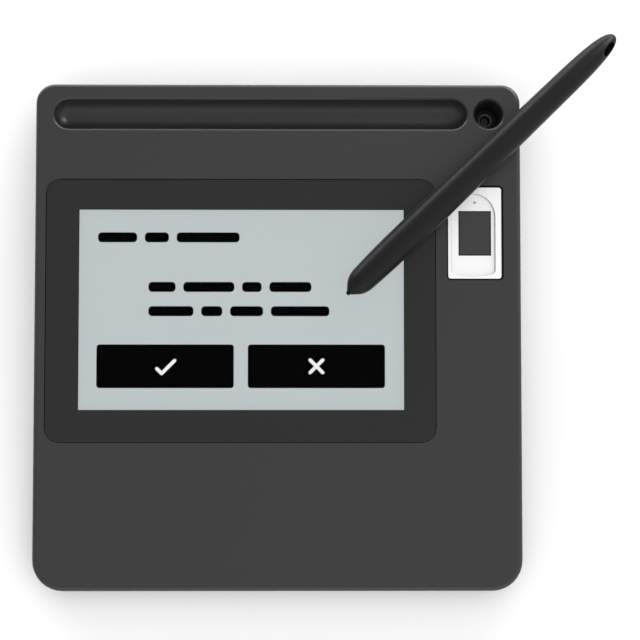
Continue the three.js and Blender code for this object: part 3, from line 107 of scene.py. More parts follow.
towards = Vector(
    (
        math.sin(CAMERA_AZIMUTH) * math.cos(CAMERA_ELEVATION),
        -math.cos(CAMERA_AZIMUTH) * math.cos(CAMERA_ELEVATION),
        math.sin(CAMERA_ELEVATION),
    )
)
level = (-towards).cross(Vector((0, 0, 1))).normalized()
upright = level.cross(-towards)
right = math.cos(CAMERA_ROLL) * level + math.sin(CAMERA_ROLL) * upright
up = -math.sin(CAMERA_ROLL) * level + math.cos(CAMERA_ROLL) * upright
turn = Matrix((right, up, towards)).transposed().to_4x4()

camera = in_scene("camera", bpy.data.cameras.new("camera"))
camera.data.lens = CAMERA_LENS
camera.data.sensor_width = SENSOR_WIDTH
camera.matrix_world = Matrix.Translation(CAMERA_AIM + towards * CAMERA_DISTANCE) @ turn
bpy.context.scene.camera = camera
print("camera at mm:", [round(value / MM, 1) for value in camera.location])

# %% [markdown]
# ## Patterns for the finishes
#
# No surface is one even colour. Moulded plastic has a fine grain that breaks up the light, its tone
# drifts a little over a hand's breadth, and its shine differs from spot to spot. All three come from
# noise on Object coordinates, which are the real places on the pad, so the grain keeps its real size
# on every piece. These helpers add one such layer each.


# %% Helpers for node trees
def feed(tree, node, inputs):
    """Sets a node's inputs: to numbers and colours, or from other nodes' outputs."""
    for key, value in dict(inputs).items():
        if isinstance(value, bpy.types.NodeSocket):
            tree.links.new(value, node.inputs[key])
        else:
            node.inputs[key].default_value = value


def new_node(tree, kind, inputs=(), **settings):
    """A node of a tree, with its settings and its inputs."""
    node = tree.nodes.new(kind)
    for key, value in settings.items():
        setattr(node, key, value)
    feed(tree, node, inputs)
    return node


def sums(tree, operation, *values):
    """The result of a sum on numbers or other outputs."""
    return new_node(tree, "ShaderNodeMath", enumerate(values), operation=operation).outputs[0]


print("helpers: feed, new_node, sums")


# %% Layers for a finish
def noise(tree, size, detail=2, stretch=(1, 1, 1)):
    """Noise whose grains are about the given size, as a value from 0 to 1."""
    place = new_node(tree, "ShaderNodeTexCoord").outputs["Object"]
    mapping = new_node(tree, "ShaderNodeMapping", {"Vector": place, "Scale": stretch})
    inputs = {"Vector": mapping.outputs["Vector"], "Scale": 1 / size, "Detail": detail}
    return new_node(tree, "ShaderNodeTexNoise", inputs).outputs["Fac"]


def ranged(tree, value, low, high):
    """A value from 0 to 1, spread between two numbers."""
    inputs = {"Value": value, "To Min": low, "To Max": high}
    return new_node(tree, "ShaderNodeMapRange", inputs).outputs["Result"]


def blended(tree, value, first, second):
    """A colour between two others, as a value goes from 0 to 1."""
    inputs = {"Factor": value, "A": (*first, 1), "B": (*second, 1)}
    return new_node(tree, "ShaderNodeMix", inputs, data_type="RGBA").outputs["Result"]


def raised(tree, height, depth):
    """Bumps of a real depth, from a height that goes from 0 to 1."""
    inputs = {"Height": height, "Distance": depth}
    return new_node(tree, "ShaderNodeBump", inputs).outputs["Normal"]


print("layers: noise, ranged, blended, raised")


# %% A shader and its colours
def principled(tree, **inputs):
    """The tree's own shader, with its sockets set by name to numbers or layers."""
    shader = tree.nodes["Principled BSDF"]
    feed(tree, shader, {name.replace("_", " "): value for name, value in inputs.items()})
    return shader


def new_finish(name):
    """An empty material with a shader, and its tree of nodes."""
    finish = bpy.data.materials.new(name)
    finish.use_nodes = True
    return finish, finish.node_tree


def shade(colour, share):
    """A colour made darker or lighter by a share of itself."""
    return tuple(channel * share for channel in colour)


def grey(level):
    """An even grey."""
    return (level, level, level)


print("helpers: principled, new_finish, shade, grey")

# %% [markdown]
# ## Moulded plastics, rubber and foam
#
# One recipe serves every moulded piece, because they differ in numbers only: colour, shine, the size
# and depth of the grain that was etched into the mould, and how far the tone drifts. The housing has
# a fine matt grain, the pen is darker and has a thin soft-touch coat, whose sheen lights up its
# flanks, and the reader's bezel is glossy white.

# %% Moulded plastics
DRIFT_SIZE = 38 * MM


def moulded(name, colour, shine, grain, depth, drift, mirror):
    """Moulded plastic: a grain and its depth in mm, a slow drift of tone, and uneven shine."""
    finish, tree = new_finish(name)
    grains = noise(tree, grain * MM, detail=3)
    slow = noise(tree, DRIFT_SIZE, detail=1)
    principled(
        tree,
        Specular_IOR_Level=mirror,
        Base_Color=blended(tree, slow, shade(colour, 1 - drift), shade(colour, 1 + drift)),
        Roughness=ranged(tree, grains, *shine),
        Normal=raised(tree, grains, depth * MM),
    )
    return finish


CHARCOAL = (0.021, 0.021, 0.0213)
BASE_CHARCOAL = shade(CHARCOAL, 0.85)
PEN_BLACK = (0.0036, 0.0036, 0.004)
NIB_BLACK = shade(PEN_BLACK, 0.3)
BRIGHT_WHITE = (0.955, 0.958, 0.96)

# Each row: slot, name, colour, least and most roughness, grain, its depth, drift, mirror.
MOULDED = (
    ("shell_plastic", "housing, matt charcoal", CHARCOAL, (0.34, 0.46), 0.45, 0.012, 0.05, 0.35),
    ("base_plastic", "base, coarse charcoal", BASE_CHARCOAL, (0.5, 0.7), 0.8, 0.05, 0.05, 0.5),
    ("pen_plastic", "pen, satin black", PEN_BLACK, (0.36, 0.5), 0.4, 0.03, 0.06, 0.17),
    ("nib_plastic", "nib, hard black", NIB_BLACK, (0.35, 0.5), 0.2, 0.004, 0.1, 0.06),
    ("white_plastic", "bezel, glossy white", BRIGHT_WHITE, (0.2, 0.28), 1.5, 0.004, 0.01, 0.5),
    ("backlight_plastic", "light guide, milky", (0.8, 0.82, 0.84), (0.3, 0.4), 1, 0.01, 0.02, 0.5),
    ("foot_rubber", "foot, dull rubber", grey(0.02), (0.75, 0.92), 0.35, 0.04, 0.12, 0.3),
    ("gasket_foam", "gasket, black foam", grey(0.008), (0.85, 1), 0.15, 0.05, 0.2, 0.2),
    ("chip_black", "chip, black resin", (0.018, 0.018, 0.02), (0.5, 0.65), 0.12, 0.01, 0.1, 0.4),
    ("connector_plastic", "connector, ivory nylon", (0.62, 0.58, 0.48), (0.45, 0.6), 0.4, 0.01, 0.05, 0.5),
    ("ferrite", "core, grey ferrite", (0.05, 0.048, 0.05), (0.55, 0.8), 0.1, 0.02, 0.2, 0.5),
    ("light_pipe", "light, smoked resin", (0.3, 0.31, 0.32), (0.15, 0.25), 0.3, 0.003, 0.1, 0.6),
)
finishes = {slot_name: moulded(*row) for slot_name, *row in MOULDED}
print("moulded finishes:", len(finishes))

# %% A soft touch on the pen
PEN_SHEEN = 0.09
SHEEN_ROUGHNESS = 0.32

pen_tree = finishes["pen_plastic"].node_tree
principled(pen_tree, Sheen_Weight=PEN_SHEEN, Sheen_Roughness=SHEEN_ROUGHNESS)
print("pen sheen:", PEN_SHEEN)

# %% [markdown]
# ## Metals
#
# The display's frame and bracket are pressed from plated sheet, which shows long faint streaks from
# rolling. The screws are zinc plated, with a duller, cloudy coat. A streak is only noise that is
# stretched along one direction, so both come from one helper.

# %% Sheet metal and plating
STREAK_SHADE = 0.88


def plated(name, colour, shine, grain, depth, stretch):
    """Plated metal: streaks or clouds, measured in mm, in its shine, colour and surface."""
    finish, tree = new_finish(name)
    streaks = noise(tree, grain * MM, detail=4, stretch=stretch)
    principled(
        tree,
        Metallic=1,
        Base_Color=blended(tree, streaks, shade(colour, STREAK_SHADE), colour),
        Roughness=ranged(tree, streaks, *shine),
        Normal=raised(tree, streaks, depth * MM),
    )
    return finish


ROLLED = (0.05, 1, 1)
CLOUDY = (1, 1, 1)

# Each row: slot, name, colour, least and most roughness, grain, its depth, stretch.
PLATED = (
    ("frame_steel", "sheet steel, rolled", grey(0.6), (0.28, 0.45), 0.6, 0.004, ROLLED),
    ("zinc_steel", "screw, zinc plated", (0.62, 0.63, 0.66), (0.3, 0.55), 0.5, 0.006, CLOUDY),
    ("port_steel", "socket, bright tin", (0.74, 0.74, 0.73), (0.18, 0.32), 0.4, 0.003, ROLLED),
)
finishes.update({slot_name: plated(*row) for slot_name, *row in PLATED})
print("finishes so far:", len(finishes))

# %% [markdown]
# ## Boards, ribbons and the coil
#
# Inside the housing are green circuit boards with copper traces under their lacquer, amber ribbon
# cables with printed lines, and a wire coil in the pen. Each has a regular pattern: a brick texture
# stands for traces, and a wave texture for printed lines and for the turns of the wire.

# %% Circuit boards
BOARD_GREEN = (0.012, 0.09, 0.035)
BOARD_SHADOW = shade(BOARD_GREEN, 0.85)
TRACE_GREEN = (0.05, 0.19, 0.075)
TRACE_PITCH = 3.2 * MM
TRACE_SHARE = 0.03
TRACE_HEIGHT = 0.03 * MM
LACQUER_WAVES = 1.2 * MM
LACQUER_SHINE = (0.28, 0.42)


def printed_board(name):
    """A circuit board: traces that show paler and raised under the lacquer."""
    finish, tree = new_finish(name)
    bricks = new_node(
        tree,
        "ShaderNodeTexBrick",
        {
            "Vector": new_node(tree, "ShaderNodeTexCoord").outputs["Object"],
            "Scale": 1 / TRACE_PITCH,
            "Color1": (*BOARD_GREEN, 1),
            "Color2": (*BOARD_SHADOW, 1),
            "Mortar": (*TRACE_GREEN, 1),
            "Mortar Size": TRACE_SHARE,
        },
    )
    principled(
        tree,
        Specular_IOR_Level=0.6,
        Coat_Weight=0.3,
        Base_Color=bricks.outputs["Color"],
        Roughness=ranged(tree, noise(tree, LACQUER_WAVES), *LACQUER_SHINE),
        Normal=raised(tree, bricks.outputs["Fac"], TRACE_HEIGHT),
    )
    return finish


finishes["circuit_board"] = printed_board("board, green lacquer")
print("traces every mm:", TRACE_PITCH / MM)

# %% Ribbons and wire
FILM_AMBER = (0.34, 0.13, 0.02)
LINE_BROWN = (0.2, 0.07, 0.015)
COPPER = (0.72, 0.32, 0.16)
WIRE_SHADOW = shade(COPPER, 0.35)
LINE_GRAIN = 0.6 * MM
LINE_SHINE = (0.3, 0.45)
WAVE_RADIANS = 20


def lined(name, colour, between, pitch, direction, metal, depth):
    """Fine parallel lines, as on a ribbon cable or a winding."""
    finish, tree = new_finish(name)
    inputs = {
        "Vector": new_node(tree, "ShaderNodeTexCoord").outputs["Object"],
        "Scale": 2 * math.pi / (WAVE_RADIANS * pitch),
    }
    wave = new_node(tree, "ShaderNodeTexWave", inputs, bands_direction=direction)
    lines = wave.outputs["Fac"]
    principled(
        tree,
        Metallic=metal,
        Base_Color=blended(tree, lines, between, colour),
        Roughness=ranged(tree, noise(tree, LINE_GRAIN), *LINE_SHINE),
        Normal=raised(tree, lines, depth),
    )
    return finish


finishes["ribbon_film"] = lined(
    "ribbon, amber film", FILM_AMBER, LINE_BROWN, 0.5 * MM, "X", 0, 0.01 * MM
)
finishes["copper_wire"] = lined(
    "coil, lacquered copper", COPPER, WIRE_SHADOW, 0.25 * MM, "DIAGONAL", 1, 0.06 * MM
)
print("finishes so far:", len(finishes))

# %% [markdown]
# ## Glass
#
# The lens is clear over the picture and printed black round it. Clear glass is a pane that lets
# light through and mirrors a little of it, and more at a flat angle. A refracting shader would bend
# light properly, but it would also keep the lamps from the picture under it, so a see-through
# shader is mixed with a mirror instead. The mirror's share grows with the fifth power of how flat
# the angle is, which is the same from above and from below: a Fresnel node would turn the pane's
# underside into a full mirror.

# %% Clear glass
SMEAR_SIZE = 16 * MM
SMEAR_SHINE = (0.03, 0.07)
HEAD_ON_MIRROR = 0.001
FLAT_POWER = 5


def clear_pane(name):
    """A thin clear pane: mostly see-through, with a mirror's share that grows at flat angles."""
    finish, tree = new_finish(name)
    smears = ranged(tree, noise(tree, SMEAR_SIZE, detail=4), *SMEAR_SHINE)
    mirror = principled(tree, Base_Color=(1, 1, 1, 1), Metallic=1, Roughness=smears)
    through = new_node(tree, "ShaderNodeBsdfTransparent")
    angle = new_node(tree, "ShaderNodeLayerWeight", {"Blend": 0.5})
    steep = sums(tree, "POWER", angle.outputs["Facing"], FLAT_POWER)
    share = ranged(tree, steep, HEAD_ON_MIRROR, 1)
    inputs = {"Fac": share, 1: through.outputs["BSDF"], 2: mirror.outputs["BSDF"]}
    mix = new_node(tree, "ShaderNodeMixShader", inputs)
    feed(tree, tree.nodes["Material Output"], {"Surface": mix.outputs["Shader"]})
    return finish


clear_glass = clear_pane("lens, clear glass")
print("mirrored head on:", HEAD_ON_MIRROR)

# %% The picture and the coats
CLOUD_SIZE = 30 * MM
CLOUD_DRIFT = 0.03
PICTURE_GRAIN = 0.3 * MM
PICTURE_SHINE = (0.5, 0.6)


def lit_picture(name, colour, own_light):
    """A lit display: one share of its colour is its own light, and the rest is reflected."""
    finish, tree = new_finish(name)
    rest = shade(colour, 1 - own_light)
    cloud = noise(tree, CLOUD_SIZE, detail=1)
    principled(
        tree,
        Specular_IOR_Level=0.2,
        Emission_Color=(*colour, 1),
        Emission_Strength=own_light,
        Base_Color=blended(
            tree, cloud, shade(rest, 1 - CLOUD_DRIFT), shade(rest, 1 + CLOUD_DRIFT)
        ),
        Roughness=ranged(tree, noise(tree, PICTURE_GRAIN), *PICTURE_SHINE),
    )
    return finish


PRINT_BLACK = (0.015, 0.015, 0.0158)
PICTURE_GREY = (0.5, 0.551, 0.564)
PICTURE_LIGHT = 0.85
PAPER_WHITE = (0.86, 0.88, 0.89)
PAPER_LIGHT = 0.5
SENSOR_GREY = (0.021, 0.021, 0.022)

finishes["lens_glass"] = moulded(
    "lens, printed border", PRINT_BLACK, (0.2, 0.3), 0.9, 0.0015, 0.04, 0.21
)
finishes["display_glass"] = lit_picture("picture, pale blue grey", PICTURE_GREY, PICTURE_LIGHT)
finishes["sensor_glass"] = moulded(
    "sensor, grey coat", SENSOR_GREY, (0.3, 0.42), 0.5, 0.003, 0.06, 0.42
)
ink = moulded("picture, black", grey(0.0004), (0.5, 0.6), 0.3, 0.001, 0.1, 0)
paper = lit_picture("picture, white", PAPER_WHITE, PAPER_LIGHT)

# %% [markdown]
# ## Finishes on the CAD pieces
#
# Most pieces inside the housing have their right shape already, so they only need their finish. The
# record says which material slot each of them has, and one loop gives all of them theirs.

# %% Dress the CAD pieces
slot_of = {row["node"]: row["material_slot"] for row in frame["record"]["subparts"]}
for node_name, slot_name in slot_of.items():
    for material_slot in frame["nodes"][node_name].material_slots:
        material_slot.material = finishes[slot_name]
print("dressed pieces:", len(slot_of))

# %% [markdown]
# ## From solid to moulding
#
# A CAD mesh is made of loose triangles with flat shading, so a rounded edge looks like a row of
# facets. A merged copy mends that: its doubles are joined, flat areas become single faces, edges
# sharper than a set angle stay sharp, and normals are weighted by area, so that flat faces stay flat
# and rounds look round. The housing, its base, the cable's socket and the bezel are finished this
# way, because their shapes are right and only their surface is coarse.

# %% Helpers for meshes
MERGE_DISTANCE = 0.001 * MM


def merged(mesh):
    """A mesh as a bmesh, with its doubles joined."""
    shape = bmesh.new()
    shape.from_mesh(mesh)
    bmesh.ops.remove_doubles(shape, verts=shape.verts, dist=MERGE_DISTANCE)
    return shape


def mesh_of(shape, name):
    """A bmesh as a mesh. Uses up the bmesh."""
    mesh = bpy.data.meshes.new(name)
    shape.to_mesh(mesh)
    shape.free()
    return mesh


def baked(holder, name):
    """The evaluated shape of an object as a plain mesh. Removes the object."""
    depsgraph = bpy.context.evaluated_depsgraph_get()
    mesh = bpy.data.meshes.new_from_object(holder.evaluated_get(depsgraph), depsgraph=depsgraph)
    mesh.name = name
    bpy.data.objects.remove(holder)
    return mesh


def shaded(shape, name, sharp):
    """A bmesh as a mesh with smooth curves, sharp edges and flat flats. Uses up the bmesh."""
    for face in shape.faces:
        face.smooth = True
    for edge in shape.edges:
        edge.smooth = edge.calc_face_angle(0) < sharp
    mesh = mesh_of(shape, name)
    if "custom_normal" in mesh.attributes:
        mesh.attributes.remove(mesh.attributes["custom_normal"])
    holder = in_scene(name + "_draft", mesh)
    weighted = holder.modifiers.new("flats stay flat", "WEIGHTED_NORMAL")
    weighted.keep_sharp = True
    return baked(holder, name)


print("doubles join within mm:", MERGE_DISTANCE / MM)

# %% Helpers that finish a piece
FLAT_ANGLE = math.radians(0.2)
SHARP_ANGLE = math.radians(32)


def finished(shape, name, slot_name, materials, *replaced, body="pad", sharp=SHARP_ANGLE):
    """Makes a bmesh a finished piece that rides on a body, in the place of CAD pieces."""
    mesh = shaded(shape, name, sharp)
    for material in materials:
        mesh.materials.append(material)
    piece = in_scene(name, mesh)
    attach(piece, body)
    if replaced:
        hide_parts(*replaced)
    print(name, "faces:", len(mesh.polygons))


def refined(node_name, name, reshape=None, extra=()):
    """Sets a merged and smoothly shaded copy in a CAD piece's place, reshaped if asked."""
    shape = merged(frame["nodes"][node_name].data)
    bmesh.ops.dissolve_limit(
        shape, angle_limit=FLAT_ANGLE, verts=shape.verts, edges=shape.edges
    )
    if reshape:
        reshape(shape)
    slot_name = slot_of[node_name]
    finished(shape, name, slot_name, [finishes[slot_name], *extra], node_name)


print("sharp above degrees:", round(math.degrees(SHARP_ANGLE)))

# %% The housing, its base and the socket
refined("top_shell", "housing_top")
refined("base_cover", "housing_base")
refined("port_shell", "cable_socket")

# %% [markdown]
# ## The lens
#
# The lens is one pane, cut with round corners, with its edge ground to a small bevel. The black
# border is printed on it, so it is the same pane with another finish on those faces. It is built as a
# stack of rings with the same number of points: window, outer edge, bevel, and window again on top.

# %% Rings, and solids made from them
CORNER_STEPS = 12


def rounded_ring(width, length, corner, steps=CORNER_STEPS):
    """Points round a rectangle with round corners, about its centre."""
    ring = []
    for side, (x, y) in enumerate(((1, 1), (-1, 1), (-1, -1), (1, -1))):
        for step in range(steps + 1):
            angle = math.pi / 2 * (side + step / steps)
            ring.append(
                (
                    x * (width / 2 - corner) + corner * math.cos(angle),
                    y * (length / 2 - corner) + corner * math.sin(angle),
                )
            )
    return ring


def face_ring(ring, across, along, below):
    """A flat ring laid in the face's frame, at a place and a depth."""
    return [face_frame @ Vector((across + x, along + y, -below)) for x, y in ring]


def bridged(shape, low, high, material=0):
    """A band of faces between two loops of points."""
    for i in range(len(low)):
        j = (i + 1) % len(low)
        shape.faces.new((low[i], low[j], high[j], high[i])).material_index = material


def stacked(shape, rings, wall=0, caps=0):
    """Joins rings of points into a closed solid, lowest first, and gives its faces' materials."""
    loops = [[shape.verts.new(point) for point in ring] for ring in rings]
    for low, high in zip(loops, loops[1:]):
        bridged(shape, low, high, wall)
    shape.faces.new(reversed(loops[0])).material_index = caps
    shape.faces.new(loops[-1]).material_index = caps


print("steps in a corner:", CORNER_STEPS)

# %% The lens pane
LENS_CORNER = 4.6 * MM
LENS_BEVEL = 0.18 * MM
LENS_FIT = 0.16 * MM
PICTURE_WIDTH = 108.2 * MM
PICTURE_LENGTH = 66.8 * MM
PICTURE_SHIFT = Vector((0.18, 0.36)) * MM
PICTURE_CORNER = 0.35 * MM
GROUND_ANGLE = math.radians(20)

lens_width = lens_high.x - lens_low.x + 2 * LENS_FIT
lens_length = lens_rear - lens_front + 2 * LENS_FIT
picture_across = lens_across + PICTURE_SHIFT.x
picture_along = lens_along + PICTURE_SHIFT.y

outline = rounded_ring(lens_width, lens_length, LENS_CORNER)
bevelled = rounded_ring(
    lens_width - 2 * LENS_BEVEL, lens_length - 2 * LENS_BEVEL, LENS_CORNER - LENS_BEVEL
)
window = rounded_ring(PICTURE_WIDTH, PICTURE_LENGTH, PICTURE_CORNER)
pane = bmesh.new()
stacked(
    pane,
    [
        face_ring(window, picture_across, picture_along, lens_back),
        face_ring(outline, lens_across, lens_along, lens_back),
        face_ring(outline, lens_across, lens_along, LENS_SINK + LENS_BEVEL),
        face_ring(bevelled, lens_across, lens_along, LENS_SINK),
        face_ring(window, picture_across, picture_along, LENS_SINK),
    ],
    caps=1,
)
lens_finishes = [finishes["lens_glass"], clear_glass]
finished(pane, "lens_pane", "lens_glass", lens_finishes, "cover_lens", sharp=GROUND_ANGLE)
print("lens in mm:", round(lens_width / MM, 2), "by", round(lens_length / MM, 2))

# %% [markdown]
# ## The picture on the display
#
# The cell of the display glows in an even blue grey. What it shows is drawn here with thin solids
# that lie on the cell, under the lens: three rows of plain bars where such a screen has its words,
# and two black keys, one with a tick and one with a cross. All of them are rounded slabs, made by one
# helper from a place and a size.

# %% Slabs on the cell
CELL_BELOW = 2.08 * MM
INK_THICKNESS = 0.08 * MM
INK_GAP = 0.02 * MM
SLAB_STEPS = 6

ink_below = CELL_BELOW - INK_GAP
mark_below = ink_below - INK_THICKNESS - INK_GAP


def slab(shape, left, front, width, length, corner, below, turn=0):
    """A thin rounded slab in the face's frame, turned about its own centre."""
    ring = rounded_ring(width, length, corner, SLAB_STEPS)
    centre = Vector((left + width / 2, front + length / 2))
    turned = [Vector(point) @ Matrix.Rotation(-turn, 2) + centre for point in ring]
    stacked(shape, [face_ring(turned, 0, 0, depth) for depth in (below, below - INK_THICKNESS)])


print("ink under the face by mm:", round(ink_below / MM, 2))

# %% Rows of bars
BAR_LENGTH = 3.3 * MM
BAR_CORNER = BAR_LENGTH / 2.6
BAR_GAP = 2.6 * MM
ROWS = (
    (-60.1, 31.2, (13, 8, 21)),
    (-43.2, 14.6, (9, 17, 6.5, 14)),
    (-43.2, 6.5, (15, 7, 11, 19.5)),
)
bars = bmesh.new()
for row_left, row_front, widths in ROWS:
    left = row_left * MM
    for width in widths:
        slab(bars, left, row_front * MM, width * MM, BAR_LENGTH, BAR_CORNER, ink_below)
        left += width * MM + BAR_GAP
finished(bars, "picture_bars", "display_glass", [ink])
print("bars:", sum(len(widths) for _, _, widths in ROWS))

# %% Two keys
KEY_FRONT = -17.46 * MM
KEY_LENGTH = 14.5 * MM
KEY_WIDTH = 45.64 * MM
KEY_CORNER = 1 * MM
KEY_LEFTS = (-60.36 * MM, -10.04 * MM)

keys = bmesh.new()
for left in KEY_LEFTS:
    slab(keys, left, KEY_FRONT, KEY_WIDTH, KEY_LENGTH, KEY_CORNER, ink_below)
finished(keys, "picture_keys", "display_glass", [ink])

# %% A tick and a cross
STROKE = 1.15 * MM
STROKE_CORNER = STROKE / 2.01
TICK_SHORT = 3.4 * MM
TICK_LONG = 7.2 * MM
CROSS_REACH = 7 * MM
SLANT = math.radians(45)


def stroke(name, number, centre, reach, turn):
    """A round-ended stroke of a mark, each a little above the one before it."""
    shape = bmesh.new()
    left, front = centre.x - reach / 2, centre.y - STROKE / 2
    below = mark_below - number * (INK_THICKNESS + INK_GAP)
    slab(shape, left, front, reach, STROKE, STROKE_CORNER, below, turn)
    finished(shape, f"{name}_{number + 1}", "display_glass", [paper])


key_middle = KEY_FRONT + KEY_LENGTH / 2
tick_centre, cross_centre = (Vector((left + KEY_WIDTH / 2, key_middle)) for left in KEY_LEFTS)
tick_corner = tick_centre + Vector((-TICK_SHORT / 3, -TICK_LONG / 3))


def leg_centre(reach, way):
    """The middle of a leg of the tick, which rises from its corner to the left or right."""
    return tick_corner + Vector((way, 1)) * (reach - STROKE) / 2 * math.cos(SLANT)


stroke("picture_tick", 0, leg_centre(TICK_SHORT, -1), TICK_SHORT, -SLANT)
stroke("picture_tick", 1, leg_centre(TICK_LONG, 1), TICK_LONG, SLANT)
stroke("picture_cross", 0, cross_centre, CROSS_REACH, SLANT)
stroke("picture_cross", 1, cross_centre, CROSS_REACH, -SLANT)

# %% [markdown]
# ## The finger reader's window
#
# A finger rests in the bezel's shallow bed, over a coated sensor. The window is a plate with a
# near-black edge and a grey coat inside it, so it is stacked from rings too, with the coat as the
# last ring's cap. It fills the pocket that the CAD window has a little play in.

# %% The sensor plate
WINDOW_WIDTH = 10.84 * MM
WINDOW_LENGTH = 14.94 * MM
WINDOW_CUT = 14.3 * MM
WINDOW_THICKNESS = 1.2 * MM
WINDOW_CORNER = 0.15 * MM
WINDOW_BEVEL = 0.06 * MM
WINDOW_RIM = 0.42 * MM
WINDOW_STEPS = 4
BED_DEPTH = 0.9 * MM

window_low, window_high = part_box("reader_window")
reader_across = (window_low.x + window_high.x) / 2
window_back = BED_DEPTH + WINDOW_THICKNESS
window_rear = (window_high.y - window_back * math.sin(FACE_SLOPE)) / math.cos(FACE_SLOPE)
window_along = window_rear - WINDOW_CUT / 2


def window_ring(inset, below):
    """The window's outline, drawn in by an inset, at a depth under the face."""
    width, length = WINDOW_WIDTH - 2 * inset, WINDOW_LENGTH - 2 * inset
    ring = rounded_ring(width, length, WINDOW_CORNER, WINDOW_STEPS)
    return face_ring(ring, reader_across, window_along, below)


plate = bmesh.new()
stacked(
    plate,
    [
        window_ring(0, window_back),
        window_ring(0, BED_DEPTH + WINDOW_BEVEL),
        window_ring(WINDOW_BEVEL, BED_DEPTH),
        window_ring(WINDOW_RIM, BED_DEPTH),
    ],
    caps=1,
)
rim_black = moulded("sensor, black edge", grey(0.006), (0.2, 0.3), 0.3, 0.001, 0.1, 0.3)
plate_finishes = [rim_black, finishes["sensor_glass"]]
finished(
    plate, "sensor_plate", "sensor_glass", plate_finishes, "reader_window", sharp=GROUND_ANGLE
)
print("sensor at mm:", round(reader_across / MM, 2), round(window_along / MM, 2))

# %% [markdown]
# ## A dark ring in the bezel's gap, and a nib rest
#
# Small rings are easy to miss, and they make the face look real. A thin black ring fills the gap
# between the bezel and the housing and stands in for the shade in that gap: its lip lies on both of
# them and draws a painted dark line round the white bezel, wider to the rear and right. At the bottom
# of the pen well a foam washer softens the pen's landing, and a smooth ring takes the nib. All are
# hollow stacks: rings up the outside and down the inside, joined to each other at the end.


# %% Hollow stacks
def hollow(shape, rings):
    """Joins rings of points into a closed ring-shaped solid, round the outside and back inside."""
    loops = [[shape.verts.new(point) for point in ring] for ring in rings]
    for low, high in zip(loops, loops[1:] + loops[:1]):
        bridged(shape, low, high)


print("helper: hollow")

# %% The dark ring in the bezel's gap
READER_WIDTH = 17.94 * MM
READER_LENGTH = 30.7 * MM
READER_CORNER = 1 * MM
READER_STEPS = 8
GAP_RING_BOTTOM = 1.6 * MM
GAP_RING_INSIDE = 0.03 * MM
GAP_RING_OUTSIDE = 0.27 * MM
GAP_RING_LIP = 0.5 * MM
LIP_HEIGHT = 0.05 * MM
# The lip's outer edge is shifted to the rear and right and its inner edge to the left, so the painted dark
# line is wider to the rear and right.
LIP_SHIFT = Vector((0.06, 0.13)) * MM
LIP_REST = 0.002 * MM
LIP_OVERLAP = 0.1 * MM
OVERLAP_SHIFT = Vector((-0.085, 0.04)) * MM
WINDOW_SHIFT = 0.05 * MM

reader_along = window_along - WINDOW_SHIFT


def bezel_ring(grow, below, shift=Vector((0, 0))):
    """The bezel's outline, grown by a gap and shifted, at a depth."""
    width, length = READER_WIDTH + 2 * grow, READER_LENGTH + 2 * grow
    ring = rounded_ring(width, length, READER_CORNER + grow, READER_STEPS)
    return face_ring(ring, reader_across + shift.x, reader_along + shift.y, below)


gap_ring = bmesh.new()
hollow(
    gap_ring,
    [
        bezel_ring(GAP_RING_OUTSIDE, GAP_RING_BOTTOM),
        bezel_ring(GAP_RING_OUTSIDE, -LIP_REST),
        bezel_ring(GAP_RING_LIP, -LIP_REST, LIP_SHIFT),
        bezel_ring(GAP_RING_LIP - LIP_HEIGHT / 2, -LIP_HEIGHT, LIP_SHIFT),
        bezel_ring(-LIP_OVERLAP, -LIP_HEIGHT, OVERLAP_SHIFT),
        bezel_ring(-LIP_OVERLAP, -LIP_REST, OVERLAP_SHIFT),
        bezel_ring(GAP_RING_INSIDE, -LIP_REST),
        bezel_ring(GAP_RING_INSIDE, GAP_RING_BOTTOM),
    ],
)
# Painted shade: a near-black ring in the gap round the bezel stands in for the gap's shade.
gap_shade_rubber = moulded("seal, black rubber", grey(0.003), (0.6, 0.8), 0.2, 0.01, 0.2, 0.06)
finished(gap_ring, "bezel_gap_shade", "gasket_foam", [gap_shade_rubber])

# %% [markdown]
# ## The finger's bed
#
# The bed in the white bezel is a shallow dish with a crisp step round it. On white plastic such a
# step hardly shows, because light comes to it from everywhere, and on the real one it shows as a fine
# grey line of shade. So the refined copy of the bezel gets a steeper step, a little left of the middle,
# and its faces behind the front get a painted shade, a grey of their own. Points are moved by one
# rule that blends from the step's top edge to its foot, and everything else stays where it was.

# %% The bezel and its bed
BED_HALF_WIDTH = 7.6 * MM
BED_FRONT = -14.33 * MM
BED_REAR = 13.3 * MM
LIGHT_ALONG = 10.35 * MM
LIGHT_CLEAR = 0.8 * MM
WINDOW_CLEAR = 5.6 * MM
TOP_SCALE = Vector((0.986, 1.011))
FOOT_SCALE = Vector((1.003, 1.028))
TOP_SHIFT = Vector((-0.565, -0.15)) * MM
FOOT_SHIFT = Vector((-0.64, -0.16)) * MM
STEP_FRONT = -12.9 * MM
STEP_SHADE = 0.5

into_face = face_frame.inverted()


